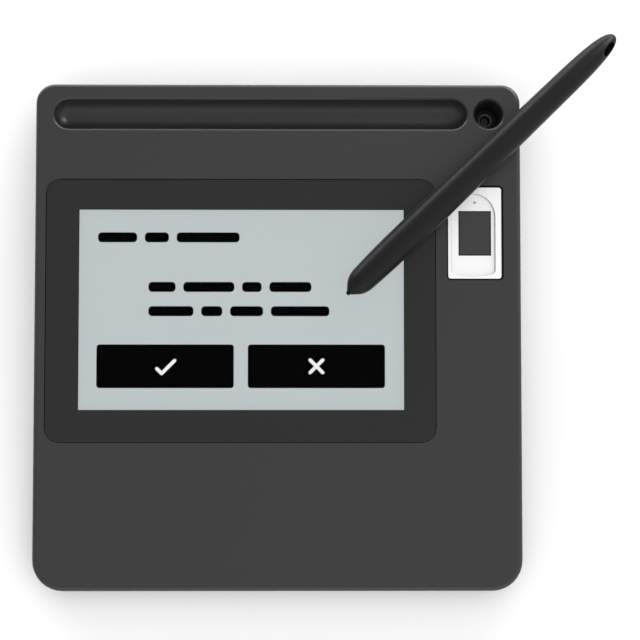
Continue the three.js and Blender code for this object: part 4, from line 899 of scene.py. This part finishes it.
def crisp_step(shape):
    """Moves the bed step's points, and gives the faces between them the second material: painted shade."""
    moved = {}
    for vertex in shape.verts:
        spot = into_face @ vertex.co
        across = spot.x - reader_across
        along = spot.y - reader_along
        depth = max(-spot.z, 0)
        inside = abs(across) < BED_HALF_WIDTH and BED_FRONT < along < BED_REAR
        in_window = abs(across) < WINDOW_CLEAR and abs(along) < WINDOW_LENGTH / 2 + WINDOW_RIM
        by_light = math.hypot(across, along - LIGHT_ALONG) < LIGHT_CLEAR
        if depth > BED_DEPTH + MERGE_DISTANCE or not inside or in_window or by_light:
            continue
        share = 1 - math.sqrt(max(1 - (depth / BED_DEPTH) ** 2, 0))
        scale = TOP_SCALE.lerp(FOOT_SCALE, share)
        shift = TOP_SHIFT.lerp(FOOT_SHIFT, share)
        place = (
            reader_across + across * scale.x + shift.x,
            reader_along + along * scale.y + shift.y,
            spot.z,
        )
        vertex.co = face_frame @ Vector(place)
        moved[vertex] = depth
    for face in shape.faces:
        depths = [moved.get(vertex) for vertex in face.verts]
        if None in depths or max(depths) - min(depths) < MERGE_DISTANCE:
            continue
        if (into_face @ face.calc_center_median()).y - reader_along > STEP_FRONT:
            face.material_index = 1
    print("step points:", len(moved))


# Painted shade: the step's faces get half the bezel's white, a grey for the shade in the step.
step_painted_shade = shade(BRIGHT_WHITE, STEP_SHADE)
step_shade_finish = moulded("bezel, step in shade", step_painted_shade, (0.4, 0.5), 1, 0.002, 0.05, 0.3)
refined("reader_bezel", "finger_bezel", crisp_step, [step_shade_finish])

# %% Rings in the well
WELL_ACROSS = 70.44 * MM
WELL_ALONG = 74.1 * MM
WELL_DEPTH = 13.04 * MM
POCKET_RIM = 2.25 * MM
POCKET_RADIUS = 1.65 * MM
POCKET_SLOPE_DEPTH = 0.6 * MM
WASHER_OUTSIDE = 3.7 * MM
WASHER_INSIDE = 2.45 * MM
WASHER_THICKNESS = 0.35 * MM
RING_GAP = 0.03 * MM
RING_THICKNESS = 0.12 * MM
RING_STEPS = 48


def well_ring(radius, below):
    """A circle about the well's axis at a depth under the face."""
    turns = [2 * math.pi * step / RING_STEPS for step in range(RING_STEPS)]
    circle = [(radius * math.cos(turn), radius * math.sin(turn)) for turn in turns]
    return face_ring(circle, WELL_ACROSS, WELL_ALONG, below)


def set_in_well(name, slot_name, finish, profile):
    """A ring in the well, from a profile of radii and depths."""
    shape = bmesh.new()
    hollow(shape, [well_ring(radius, below) for radius, below in profile])
    finished(shape, name, slot_name, [finish])


ring_bottom = WELL_DEPTH - RING_GAP
washer_top = WELL_DEPTH - WASHER_THICKNESS
washer_profile = (
    (WASHER_OUTSIDE, ring_bottom),
    (WASHER_OUTSIDE, washer_top),
    (WASHER_INSIDE, washer_top),
    (WASHER_INSIDE, ring_bottom),
)
washer_foam = moulded("washer, grey foam", grey(0.03), (0.85, 1), 0.15, 0.05, 0.2, 0.2)
set_in_well("well_washer", "gasket_foam", washer_foam, washer_profile)

rim_top = WELL_DEPTH - RING_GAP - RING_THICKNESS
slope_end = WELL_DEPTH + POCKET_SLOPE_DEPTH
rest_profile = (
    (POCKET_RADIUS - RING_GAP, slope_end),
    (POCKET_RIM - RING_GAP, ring_bottom),
    (POCKET_RIM - RING_GAP, rim_top),
    (POCKET_RIM - RING_THICKNESS, rim_top),
    (POCKET_RADIUS - RING_THICKNESS, slope_end),
)
rest_grey = moulded("nib rest, grey", grey(0.28), (0.3, 0.4), 0.3, 0.002, 0.05, 0.5)
set_in_well("nib_rest", "pen_plastic", rest_grey, rest_profile)

# %% [markdown]
# ## The pen
#
# The pen is turned: a nose that flares out like a trumpet's bell, a long barrel with its widest place
# at the grip, and a tail that closes in a soft point. A turned piece is an outline and an axis, so
# the outline is written as curves and spun round. The barrel is hollow, because the wire coil and its
# core sit in it, and so its outline runs up the outside and back down the bore.

# %% The pen's own frame
PEN_HEADING = math.radians(44.1)
PEN_PLACE = Vector((35.1, 4.9)) * MM
PEN_REST_GAP = 0.2 * MM
GRIP_RADIUS = 4.9 * MM
GRIP_END = 36.8 * MM
TAIL_RADIUS = 4.35 * MM
TAIL_START = 97 * MM
PEN_LENGTH = 124.7 * MM
PEN_TRIM = 0.01 * MM

dip = math.atan((GRIP_RADIUS - TAIL_RADIUS) / (TAIL_START - GRIP_END))
pen_axis = Vector(
    (
        math.cos(PEN_HEADING) * math.cos(dip),
        math.sin(PEN_HEADING) * math.cos(dip),
        -math.sin(dip),
    )
)
pen_side = Vector((-math.sin(PEN_HEADING), math.cos(PEN_HEADING), 0))
pen_up = pen_side.cross(pen_axis)
nib_height = (GRIP_RADIUS + PEN_REST_GAP) / math.cos(dip) + GRIP_END * math.sin(dip)
nib_point = Vector((lens_across + PEN_PLACE.x, lens_along + PEN_PLACE.y, nib_height))
pen_turn = Matrix((pen_up, pen_side, pen_axis)).transposed().to_4x4()
pen_frame = face_frame @ Matrix.Translation(nib_point) @ pen_turn
print("nib's point at mm:", [round(value / MM, 2) for value in pen_frame.translation])

# %% Curves and a lathe
PEN_SEGMENTS = 88


def curve(start, end, shares, steps):
    """Points of a curved stretch, whose two handles are shares of the way."""
    change = Vector(end) - Vector(start)
    points = [Vector(start)]
    points += [Vector(start) + Vector((change.x * out, change.y * on)) for out, on in shares]
    points.append(Vector(end))
    path = []
    for step in range(1, steps + 1):
        t = step / steps
        weights = ((1 - t) ** 3, 3 * t * (1 - t) ** 2, 3 * t * t * (1 - t), t**3)
        path.append(sum((p * w for p, w in zip(points, weights)), Vector((0, 0))))
    return path


def lathe(outline, segments=PEN_SEGMENTS):
    """Spins an outline of (radius, distance) points round the pen's axis."""
    shape = bmesh.new()
    loops = []
    for radius, distance in outline:
        turns = [2 * math.pi * i / segments for i in range(segments if radius else 1)]
        spots = [Vector((radius * math.cos(t), radius * math.sin(t), distance)) for t in turns]
        loops.append([shape.verts.new(pen_frame @ spot) for spot in spots])
    after = loops[1:] + loops[:1] if len(loops[0]) > 1 else loops[1:]
    for low, high in zip(loops, after):
        for i in range(segments):
            j = (i + 1) % segments
            corners = [low[i % len(low)], low[j % len(low)], high[j % len(high)], high[i % len(high)]]
            shape.faces.new(list(dict.fromkeys(corners)))
    return shape


print("pen segments:", PEN_SEGMENTS)

# %% The barrel
NOSE_RADIUS = 0.98 * MM
NIB_REACH = 1 * MM
NOSE_END = (4.48 * MM, 8.7 * MM)
GRIP_START = 24 * MM
NOSE_SHARES = ((0.48, 0.24), (0.98, 0.38))
NOSE_STEPS = 22
GRIP_SHARES = ((0.6, 0.3), (1, 0.6))
GRIP_STEPS = 14
NIB_HOLE = 0.87 * MM
BORE_START = 9 * MM
BORE_RADIUS = 3.3 * MM
SEAM_BEVEL = 0.03 * MM

nose_rim = (NOSE_RADIUS, NIB_REACH)
barrel_outline = [
    (NIB_HOLE, NIB_REACH),
    nose_rim,
    *curve(nose_rim, NOSE_END, NOSE_SHARES, NOSE_STEPS),
    *curve(NOSE_END, (GRIP_RADIUS, GRIP_START), GRIP_SHARES, GRIP_STEPS),
    (GRIP_RADIUS, GRIP_END),
    (TAIL_RADIUS - PEN_TRIM, TAIL_START - SEAM_BEVEL),
    (TAIL_RADIUS - SEAM_BEVEL, TAIL_START),
    (BORE_RADIUS, TAIL_START),
    (BORE_RADIUS, BORE_START),
    (NIB_HOLE, BORE_START),
]
barrel = lathe(barrel_outline)
finished(
    barrel, "barrel_turned", "pen_plastic", [finishes["pen_plastic"]], "pen_barrel", body="pen"
)

# %% The nib
NIB_RADIUS = 0.75 * MM
NIB_STEM_START = 8.7 * MM
STEM_RADIUS = 0.5 * MM
STEM_END = 33.8 * MM
TIP_STEPS = 10
NIB_SEGMENTS = 32

tip = []
for step in range(1, TIP_STEPS + 1):
    angle = math.pi / 2 * step / TIP_STEPS
    tip.append((NIB_RADIUS * math.sin(angle), NIB_RADIUS * (1 - math.cos(angle))))
nib_outline = [
    (0, 0),
    *tip,
    (NIB_RADIUS, NIB_STEM_START),
    (STEM_RADIUS, NIB_STEM_START),
    (STEM_RADIUS, STEM_END),
    (0, STEM_END),
]
nib = lathe(nib_outline, NIB_SEGMENTS)
finished(nib, "nib_turned", "nib_plastic", [finishes["nib_plastic"]], "pen_nib", body="nib")

# %% [markdown]
# ## The tail and its tether hole
#
# The tail cap plugs into the barrel with a spigot, and a slot through it takes a cord. Each mouth of
# the slot lies in a shallow hollow, like the dent a thumb leaves, so that a knot has room. Slot and
# hollows are cut with Booleans: a straight cutter with round ends for the one, and two long rounded
# bodies, which follow the tail's taper, for the others. A Boolean may list its faces in another
# order each time, so they are sorted, and every run gives the same mesh. A bevel then gives the
# edges the soft rim of a moulded hole.

# %% The tail cap
PEN_SEAM = 0.02 * MM
TAIL_SHARES = ((0.02, 0.54), (0.08, 1))
TAIL_STEPS = 40
TAIL_TRIM = 0.08 * MM
SPIGOT_LENGTH = 7 * MM
SPIGOT_RADIUS = 3.18 * MM

cap_start = TAIL_START + PEN_SEAM
cap_end = PEN_LENGTH - TAIL_TRIM
cap_side = (TAIL_RADIUS - PEN_TRIM, cap_start)
cap_outline = [
    (0, TAIL_START - SPIGOT_LENGTH),
    (SPIGOT_RADIUS, TAIL_START - SPIGOT_LENGTH),
    (SPIGOT_RADIUS, cap_start),
    (TAIL_RADIUS - SEAM_BEVEL, cap_start),
    (TAIL_RADIUS - PEN_TRIM, cap_start + SEAM_BEVEL),
    *curve(cap_side, (0, cap_end), TAIL_SHARES, TAIL_STEPS)[1:-1],
    (0, cap_end),
]
cap_draft = lathe(cap_outline)
print("tail cap in mm:", round((cap_end - cap_start) / MM, 2))

# %% The slot
SLOT_LENGTH = 5.4 * MM
SLOT_WIDTH = 2.5 * MM
SLOT_CORNER = SLOT_WIDTH / 2.001
SLOT_FROM_END = 5.2 * MM
SLOT_ROLL = math.radians(45)
SLOT_STEPS = 14

slot_middle = PEN_LENGTH - SLOT_FROM_END


def slot_ring(height):
    """The slot's outline across the pen, at a height over its axis."""
    ring = rounded_ring(SLOT_WIDTH, SLOT_LENGTH, SLOT_CORNER, SLOT_STEPS)
    roll = Matrix.Rotation(SLOT_ROLL, 4, "Z")
    return [pen_frame @ (roll @ Vector((height, y, slot_middle + x))) for y, x in ring]


slot_shape = bmesh.new()
# The cutter's walls carry the second material, which the slot's inner walls keep: a painted shade.
stacked(slot_shape, [slot_ring(-GRIP_RADIUS), slot_ring(GRIP_RADIUS)], wall=1)
print("slot in mm:", round(SLOT_LENGTH / MM, 2), "by", round(SLOT_WIDTH / MM, 2))

# %% Two hollows for the slot's mouths
HOLLOW_RADIUS = 6 * MM
HOLLOW_REACH = 8 * MM
HOLLOW_HEIGHT = 2.4 * MM
HOLLOW_TILT = math.atan(0.2)
HOLLOW_STEPS = 96

hollow_shape = bmesh.new()
hollow_out = HOLLOW_HEIGHT + HOLLOW_RADIUS * math.cos(HOLLOW_TILT)
hollow_on = slot_middle + HOLLOW_RADIUS * math.sin(HOLLOW_TILT)
for side in (0, math.pi):
    place = (
        pen_frame
        @ Matrix.Rotation(SLOT_ROLL + side, 4, "Z")
        @ Matrix.Translation((hollow_out, 0, hollow_on))
        @ Matrix.Rotation(-HOLLOW_TILT, 4, "Y")
        @ Matrix.Diagonal((HOLLOW_RADIUS, HOLLOW_RADIUS, HOLLOW_REACH, 1))
    )
    bmesh.ops.create_uvsphere(
        hollow_shape, u_segments=HOLLOW_STEPS, v_segments=HOLLOW_STEPS, radius=1, matrix=place
    )
print("hollow radius in mm:", round(HOLLOW_RADIUS / MM, 2))


# %% Cut the slot and its hollows
def draft(name, shape):
    """A helper object for Booleans, with its faces turned outwards. Uses up the bmesh."""
    bmesh.ops.recalc_face_normals(shape, faces=shape.faces)
    return in_scene(name, mesh_of(shape, name))


holder = draft("tail_draft", cap_draft)
cutters = [draft("tether_slot", slot_shape), draft("slot_hollows", hollow_shape)]
for tool in cutters:
    cut = holder.modifiers.new(tool.name, "BOOLEAN")
    cut.object = tool
    cut.operation = "DIFFERENCE"
    cut.solver = "EXACT"
cut_mesh = baked(holder, "cap_cut")
for tool in cutters:
    bpy.data.objects.remove(tool)
print("faces after the cuts:", len(cut_mesh.polygons))


# %% Sort the faces
def in_order(mesh):
    """A mesh's points and faces as a bmesh: each face from its lowest point on, sorted by points."""
    faces = []
    for polygon in mesh.polygons:
        numbers = list(polygon.vertices)
        start = numbers.index(min(numbers))
        faces.append((numbers[start:] + numbers[:start], polygon.material_index))
    shape = bmesh.new()
    spots = [shape.verts.new(vertex.co) for vertex in mesh.vertices]
    for numbers, material in sorted(faces):
        shape.faces.new([spots[number] for number in numbers]).material_index = material
    return shape


sorted_mesh = mesh_of(in_order(cut_mesh), "cap_sorted")
print("sorted faces:", len(sorted_mesh.polygons))

# %% Soften the slot's rim
RIM_BEVEL = 0.12 * MM
RIM_SEGMENTS = 3
RIM_REACH = 5.2 * MM

cap = merged(sorted_mesh)
slot_centre = pen_frame @ Vector((0, 0, slot_middle))
rim_edges = [
    edge
    for edge in cap.edges
    if edge.calc_face_angle(0) > SHARP_ANGLE
    and (edge.verts[0].co - slot_centre).length < RIM_REACH
]
bmesh.ops.bevel(
    cap,
    geom=rim_edges,
    offset=RIM_BEVEL,
    offset_type="OFFSET",
    segments=RIM_SEGMENTS,
    profile=0.5,
    affect="EDGES",
    clamp_overlap=True,
)
print("rim edges:", len(rim_edges))
# Painted shade: the slot's inner walls are near black, for the shade inside the hole.
slot_painted_shade = moulded("slot, raw black", grey(0.0008), (0.7, 0.9), 0.3, 0.01, 0.1, 0.05)
cap_finishes = [finishes["pen_plastic"], slot_painted_shade]
finished(cap, "tail_turned", "pen_plastic", cap_finishes, "pen_tail_cap", body="pen")

# %% [markdown]
# ## Feet and case screws
#
# Four rubber feet and five screws sit under the pad. They repeat, so Geometry Nodes make one of each
# and set it on a few points. Each tree takes its sizes as named inputs. A foot is a cylinder whose
# underside is rippled in fine rings for grip, by a sine of the distance from its middle. A screw is a
# dished head on a shank, with two bars cut out of it for the cross.


# %% Helpers for Geometry Nodes
def new_tree(name, sizes):
    """A Geometry Nodes tree with points in, geometry out, and named sizes."""
    tree = bpy.data.node_groups.new(name, "GeometryNodeTree")
    tree.interface.new_socket("Points", in_out="INPUT", socket_type="NodeSocketGeometry")
    for size in sizes:
        tree.interface.new_socket(size, in_out="INPUT", socket_type="NodeSocketFloat")
    tree.interface.new_socket("Finish", in_out="INPUT", socket_type="NodeSocketMaterial")
    tree.interface.new_socket("Geometry", in_out="OUTPUT", socket_type="NodeSocketGeometry")
    return tree, tree.nodes.new("NodeGroupInput").outputs, tree.nodes.new("NodeGroupOutput")


def finish_tree(tree, inputs, output, shape):
    """Sets a shape on the points, and ends the tree in plain geometry with its finish."""
    placed = new_node(
        tree, "GeometryNodeInstanceOnPoints", {"Points": inputs["Points"], "Instance": shape}
    )
    plain = new_node(tree, "GeometryNodeRealizeInstances", {"Geometry": placed.outputs[0]})
    dressed = new_node(
        tree,
        "GeometryNodeSetMaterial",
        {"Geometry": plain.outputs[0], "Material": inputs["Finish"]},
    )
    feed(tree, output, {"Geometry": dressed.outputs[0]})


def grown(name, tree, points, sizes, slot_name, *replaced):
    """Runs a tree on points, and sets its result in the place of CAD pieces."""
    seeds = bpy.data.meshes.new(name + "_points")
    seeds.from_pydata(points, [], [])
    holder = in_scene(name + "_points", seeds)
    modifier = holder.modifiers.new(name, "NODES")
    modifier.node_group = tree
    finish = finishes[slot_name]
    for socket in tree.interface.items_tree:
        if socket.in_out == "INPUT" and socket.name in sizes:
            modifier[socket.identifier] = float(sizes[socket.name])
        if socket.in_out == "INPUT" and socket.name == "Finish":
            modifier[socket.identifier] = finish
    mesh = baked(holder, name + "_grown")
    finished(merged(mesh), name, slot_name, [finish], *replaced)


print("helpers: new_tree, finish_tree, grown")

# %% A tree for the feet
FOOT_SEGMENTS = 64
FOOT_RINGS = 24

foot_tree, foot_size, foot_out = new_tree(
    "rubber foot", ("Foot Radius", "Foot Thickness", "Edge Chamfer", "Ring Count", "Ring Depth")
)


def foot_sum(operation, *values):
    """A sum in the feet's tree."""
    return sums(foot_tree, operation, *values)


pad_disc = new_node(
    foot_tree,
    "GeometryNodeMeshCylinder",
    {
        "Vertices": FOOT_SEGMENTS,
        "Side Segments": 1,
        "Fill Segments": FOOT_RINGS,
        "Radius": foot_size["Foot Radius"],
        "Depth": foot_size["Foot Thickness"],
    },
).outputs
here = new_node(foot_tree, "GeometryNodeInputPosition").outputs[0]
spot = new_node(foot_tree, "ShaderNodeSeparateXYZ", {0: here}).outputs
squares = [foot_sum("MULTIPLY", spot[axis], spot[axis]) for axis in (0, 1)]
from_middle = foot_sum("SQRT", foot_sum("ADD", *squares))
share = foot_sum("DIVIDE", from_middle, foot_size["Foot Radius"])
turns = foot_sum("MULTIPLY", share, foot_size["Ring Count"])
ripple = foot_sum("COSINE", foot_sum("MULTIPLY", turns, 2 * math.pi))
ring_share = foot_sum("MULTIPLY", foot_sum("SUBTRACT", 1, ripple), 0.5)
ring_rise = foot_sum("MULTIPLY", ring_share, foot_size["Ring Depth"])
flat_radius = foot_sum("SUBTRACT", foot_size["Foot Radius"], foot_size["Edge Chamfer"])
edge_rise = foot_sum("MAXIMUM", foot_sum("SUBTRACT", from_middle, flat_radius), 0)
rise = new_node(
    foot_tree, "ShaderNodeCombineXYZ", {"Z": foot_sum("MAXIMUM", ring_rise, edge_rise)}
)
rippled = new_node(
    foot_tree,
    "GeometryNodeSetPosition",
    {"Geometry": pad_disc["Mesh"], "Selection": pad_disc["Bottom"], "Offset": rise.outputs[0]},
)
finish_tree(foot_tree, foot_size, foot_out, rippled.outputs[0])
print("foot tree nodes:", len(foot_tree.nodes))

# %% Grow the feet
foot_nodes = sorted(name for name in frame["nodes"] if name.startswith("foot_"))
foot_boxes = [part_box(name) for name in foot_nodes]
foot_low, foot_high = foot_boxes[0]
foot_sizes = {
    "Foot Radius": (foot_high.x - foot_low.x) / 2,
    "Foot Thickness": foot_high.z - foot_low.z,
    "Edge Chamfer": 0.4 * MM,
    "Ring Count": 6,
    "Ring Depth": 0.18 * MM,
}
foot_seats = [(low + high) / 2 for low, high in foot_boxes]
grown("rubber_feet", foot_tree, foot_seats, foot_sizes, "foot_rubber", *foot_nodes)
print("feet:", len(foot_nodes))

# %% A tree for the screws
SCREW_SEGMENTS = 40
DISH_SHARE = 0.72

screw_tree, screw_size, screw_out = new_tree(
    "cross-head screw",
    ("Head Radius", "Head Height", "Shank Radius", "Shank Length", "Cross Reach", "Cross Width"),
)


def screw_product(size, share):
    """A share of one of a screw's sizes."""
    return sums(screw_tree, "MULTIPLY", size, share)


def shifted(piece, height):
    """A piece of a screw, moved up by a height."""
    lift = new_node(screw_tree, "ShaderNodeCombineXYZ", {"Z": height})
    return new_node(
        screw_tree,
        "GeometryNodeTransform",
        {"Geometry": piece.outputs["Mesh"], "Translation": lift.outputs[0]},
    ).outputs[0]


def rod(radius, depth):
    """A cylinder of the screw."""
    sizes = {"Vertices": SCREW_SEGMENTS, "Radius": radius, "Depth": depth}
    return new_node(screw_tree, "GeometryNodeMeshCylinder", sizes)


half_head = screw_product(screw_size["Head Height"], 0.5)
dish = new_node(
    screw_tree,
    "GeometryNodeMeshCone",
    {
        "Vertices": SCREW_SEGMENTS,
        "Radius Top": screw_size["Head Radius"],
        "Radius Bottom": screw_product(screw_size["Head Radius"], DISH_SHARE),
        "Depth": half_head,
    },
)
collar = rod(screw_size["Head Radius"], half_head)
shank = rod(screw_size["Shank Radius"], screw_size["Shank Length"])
quarter_head = screw_product(screw_size["Head Height"], 0.25)
head_down = screw_product(screw_size["Head Height"], -1)
half_shank = screw_product(screw_size["Shank Length"], 0.5)
print("pieces of a screw: dish, collar, shank")

# %% Join the screw and cut its cross
solid = new_node(screw_tree, "GeometryNodeMeshBoolean", operation="UNION", solver="EXACT")
for part, height in (
    (dish, head_down),
    (collar, screw_product(quarter_head, -1)),
    (shank, half_shank),
):
    feed(screw_tree, solid, {"Mesh 2": shifted(part, height)})
recess = new_node(
    screw_tree,
    "GeometryNodeMeshBoolean",
    {"Mesh 1": solid.outputs["Mesh"]},
    operation="DIFFERENCE",
    solver="EXACT",
)
for first, second in (("Cross Reach", "Cross Width"), ("Cross Width", "Cross Reach")):
    extent = new_node(
        screw_tree,
        "ShaderNodeCombineXYZ",
        {"X": screw_size[first], "Y": screw_size[second], "Z": screw_size["Head Height"]},
    )
    bar = new_node(screw_tree, "GeometryNodeMeshCube", {"Size": extent.outputs[0]})
    feed(screw_tree, recess, {"Mesh 2": shifted(bar, head_down)})
finish_tree(screw_tree, screw_size, screw_out, recess.outputs["Mesh"])
print("screw tree nodes:", len(screw_tree.nodes))

# %% Grow the screws
HEAD_HEIGHT = 1.3 * MM

screw_nodes = sorted(name for name in frame["nodes"] if name.startswith("case_screw_"))
screw_boxes = [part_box(name) for name in screw_nodes]
screw_low, screw_high = screw_boxes[0]
head_radius = (screw_high.x - screw_low.x) / 2
screw_sizes = {
    "Head Radius": head_radius,
    "Head Height": HEAD_HEIGHT,
    "Shank Radius": 1.25 * MM,
    "Shank Length": screw_high.z - screw_low.z - HEAD_HEIGHT,
    "Cross Reach": 1.3 * head_radius,
    "Cross Width": 0.6 * MM,
}
screw_seats = [
    Vector(((low.x + high.x) / 2, (low.y + high.y) / 2, low.z + HEAD_HEIGHT))
    for low, high in screw_boxes
]
grown("case_screws", screw_tree, screw_seats, screw_sizes, "zinc_steel", *screw_nodes)
print("screws:", len(screw_nodes))

# %% [markdown]
# ## Floor and light
#
# The pad stands on a plain pale floor. A wide lamp behind the pad draws the bright line along its
# rear edge and the streak on the pen's far flank. It is low and narrow, so that it adds little light
# and only a faint shadow. Two more lamps are seen by shine alone: they put a soft spot into the
# tray's end and a fine line along the front edge, and add nothing to matt surfaces. A soft sky gives
# the rest. It is a little brighter toward the front right, so that shallow steps, such as the one
# round the finger's bed, show on their two sides. Together they light the pad at the level at which
# a colour renders about as it is written.

# %% Floor
FLOOR_REACH = 4

floor_height = min(low.z for low, _ in foot_boxes)
floor_shape = bmesh.new()
corners = [(-1, -1), (1, -1), (1, 1), (-1, 1)]
floor_shape.faces.new(
    [floor_shape.verts.new((x * FLOOR_REACH, y * FLOOR_REACH, floor_height)) for x, y in corners]
)
floor = in_scene("floor", mesh_of(floor_shape, "floor"))
floor.data.materials.append(
    moulded("floor, white card", grey(0.98), (0.85, 1), 2, 0.001, 0.004, 0)
)
print("floor at mm:", round(floor_height / MM, 2))

# %% Lamps
LAMP_DISTANCE = 1.3

# Each row: name, azimuth right of the rear, elevation, width, height, power, glints only.
LAMPS = (
    ("rear soft box", -6, 10.5, 3, 0.25, 32, False),
    ("right glint", 43, 34, 0.35, 0.35, 14, True),
    ("front glint", 170, 22, 1.5, 0.8, 3, True),
)
for name, azimuth, elevation, width, height, power, glint in LAMPS:
    light = bpy.data.lights.new(name, "AREA")
    light.shape = "RECTANGLE"
    light.size = width
    light.size_y = height
    light.energy = power
    around, above = math.radians(azimuth), math.radians(elevation)
    way = Vector(
        (
            math.sin(around) * math.cos(above),
            math.cos(around) * math.cos(above),
            math.sin(above),
        )
    )
    lamp = in_scene(name, light)
    lamp.location = way * LAMP_DISTANCE
    lamp.rotation_euler = way.to_track_quat("Z", "Y").to_euler()
    lamp.visible_diffuse = not glint
print("lamps:", len(LAMPS))

# %% Sky
SKY_STRENGTH = 1
SKY_CHANGE = 0.5
SKY_WAY = Vector((1, -1, 0)).normalized()

sky = bpy.data.worlds.new("soft sky")
sky.use_nodes = True
sky_tree = sky.node_tree
way = new_node(sky_tree, "ShaderNodeTexCoord").outputs["Generated"]
towards_bright = new_node(
    sky_tree, "ShaderNodeVectorMath", {0: way, 1: SKY_WAY * SKY_CHANGE}, operation="DOT_PRODUCT"
)
level_here = sums(sky_tree, "ADD", towards_bright.outputs["Value"], SKY_STRENGTH)
feed(sky_tree, sky_tree.nodes["Background"], {"Strength": level_here, "Color": (1, 1, 1, 1)})
bpy.context.scene.world = sky
bpy.context.scene.view_settings.view_transform = "Standard"
print("sky strength:", SKY_STRENGTH)
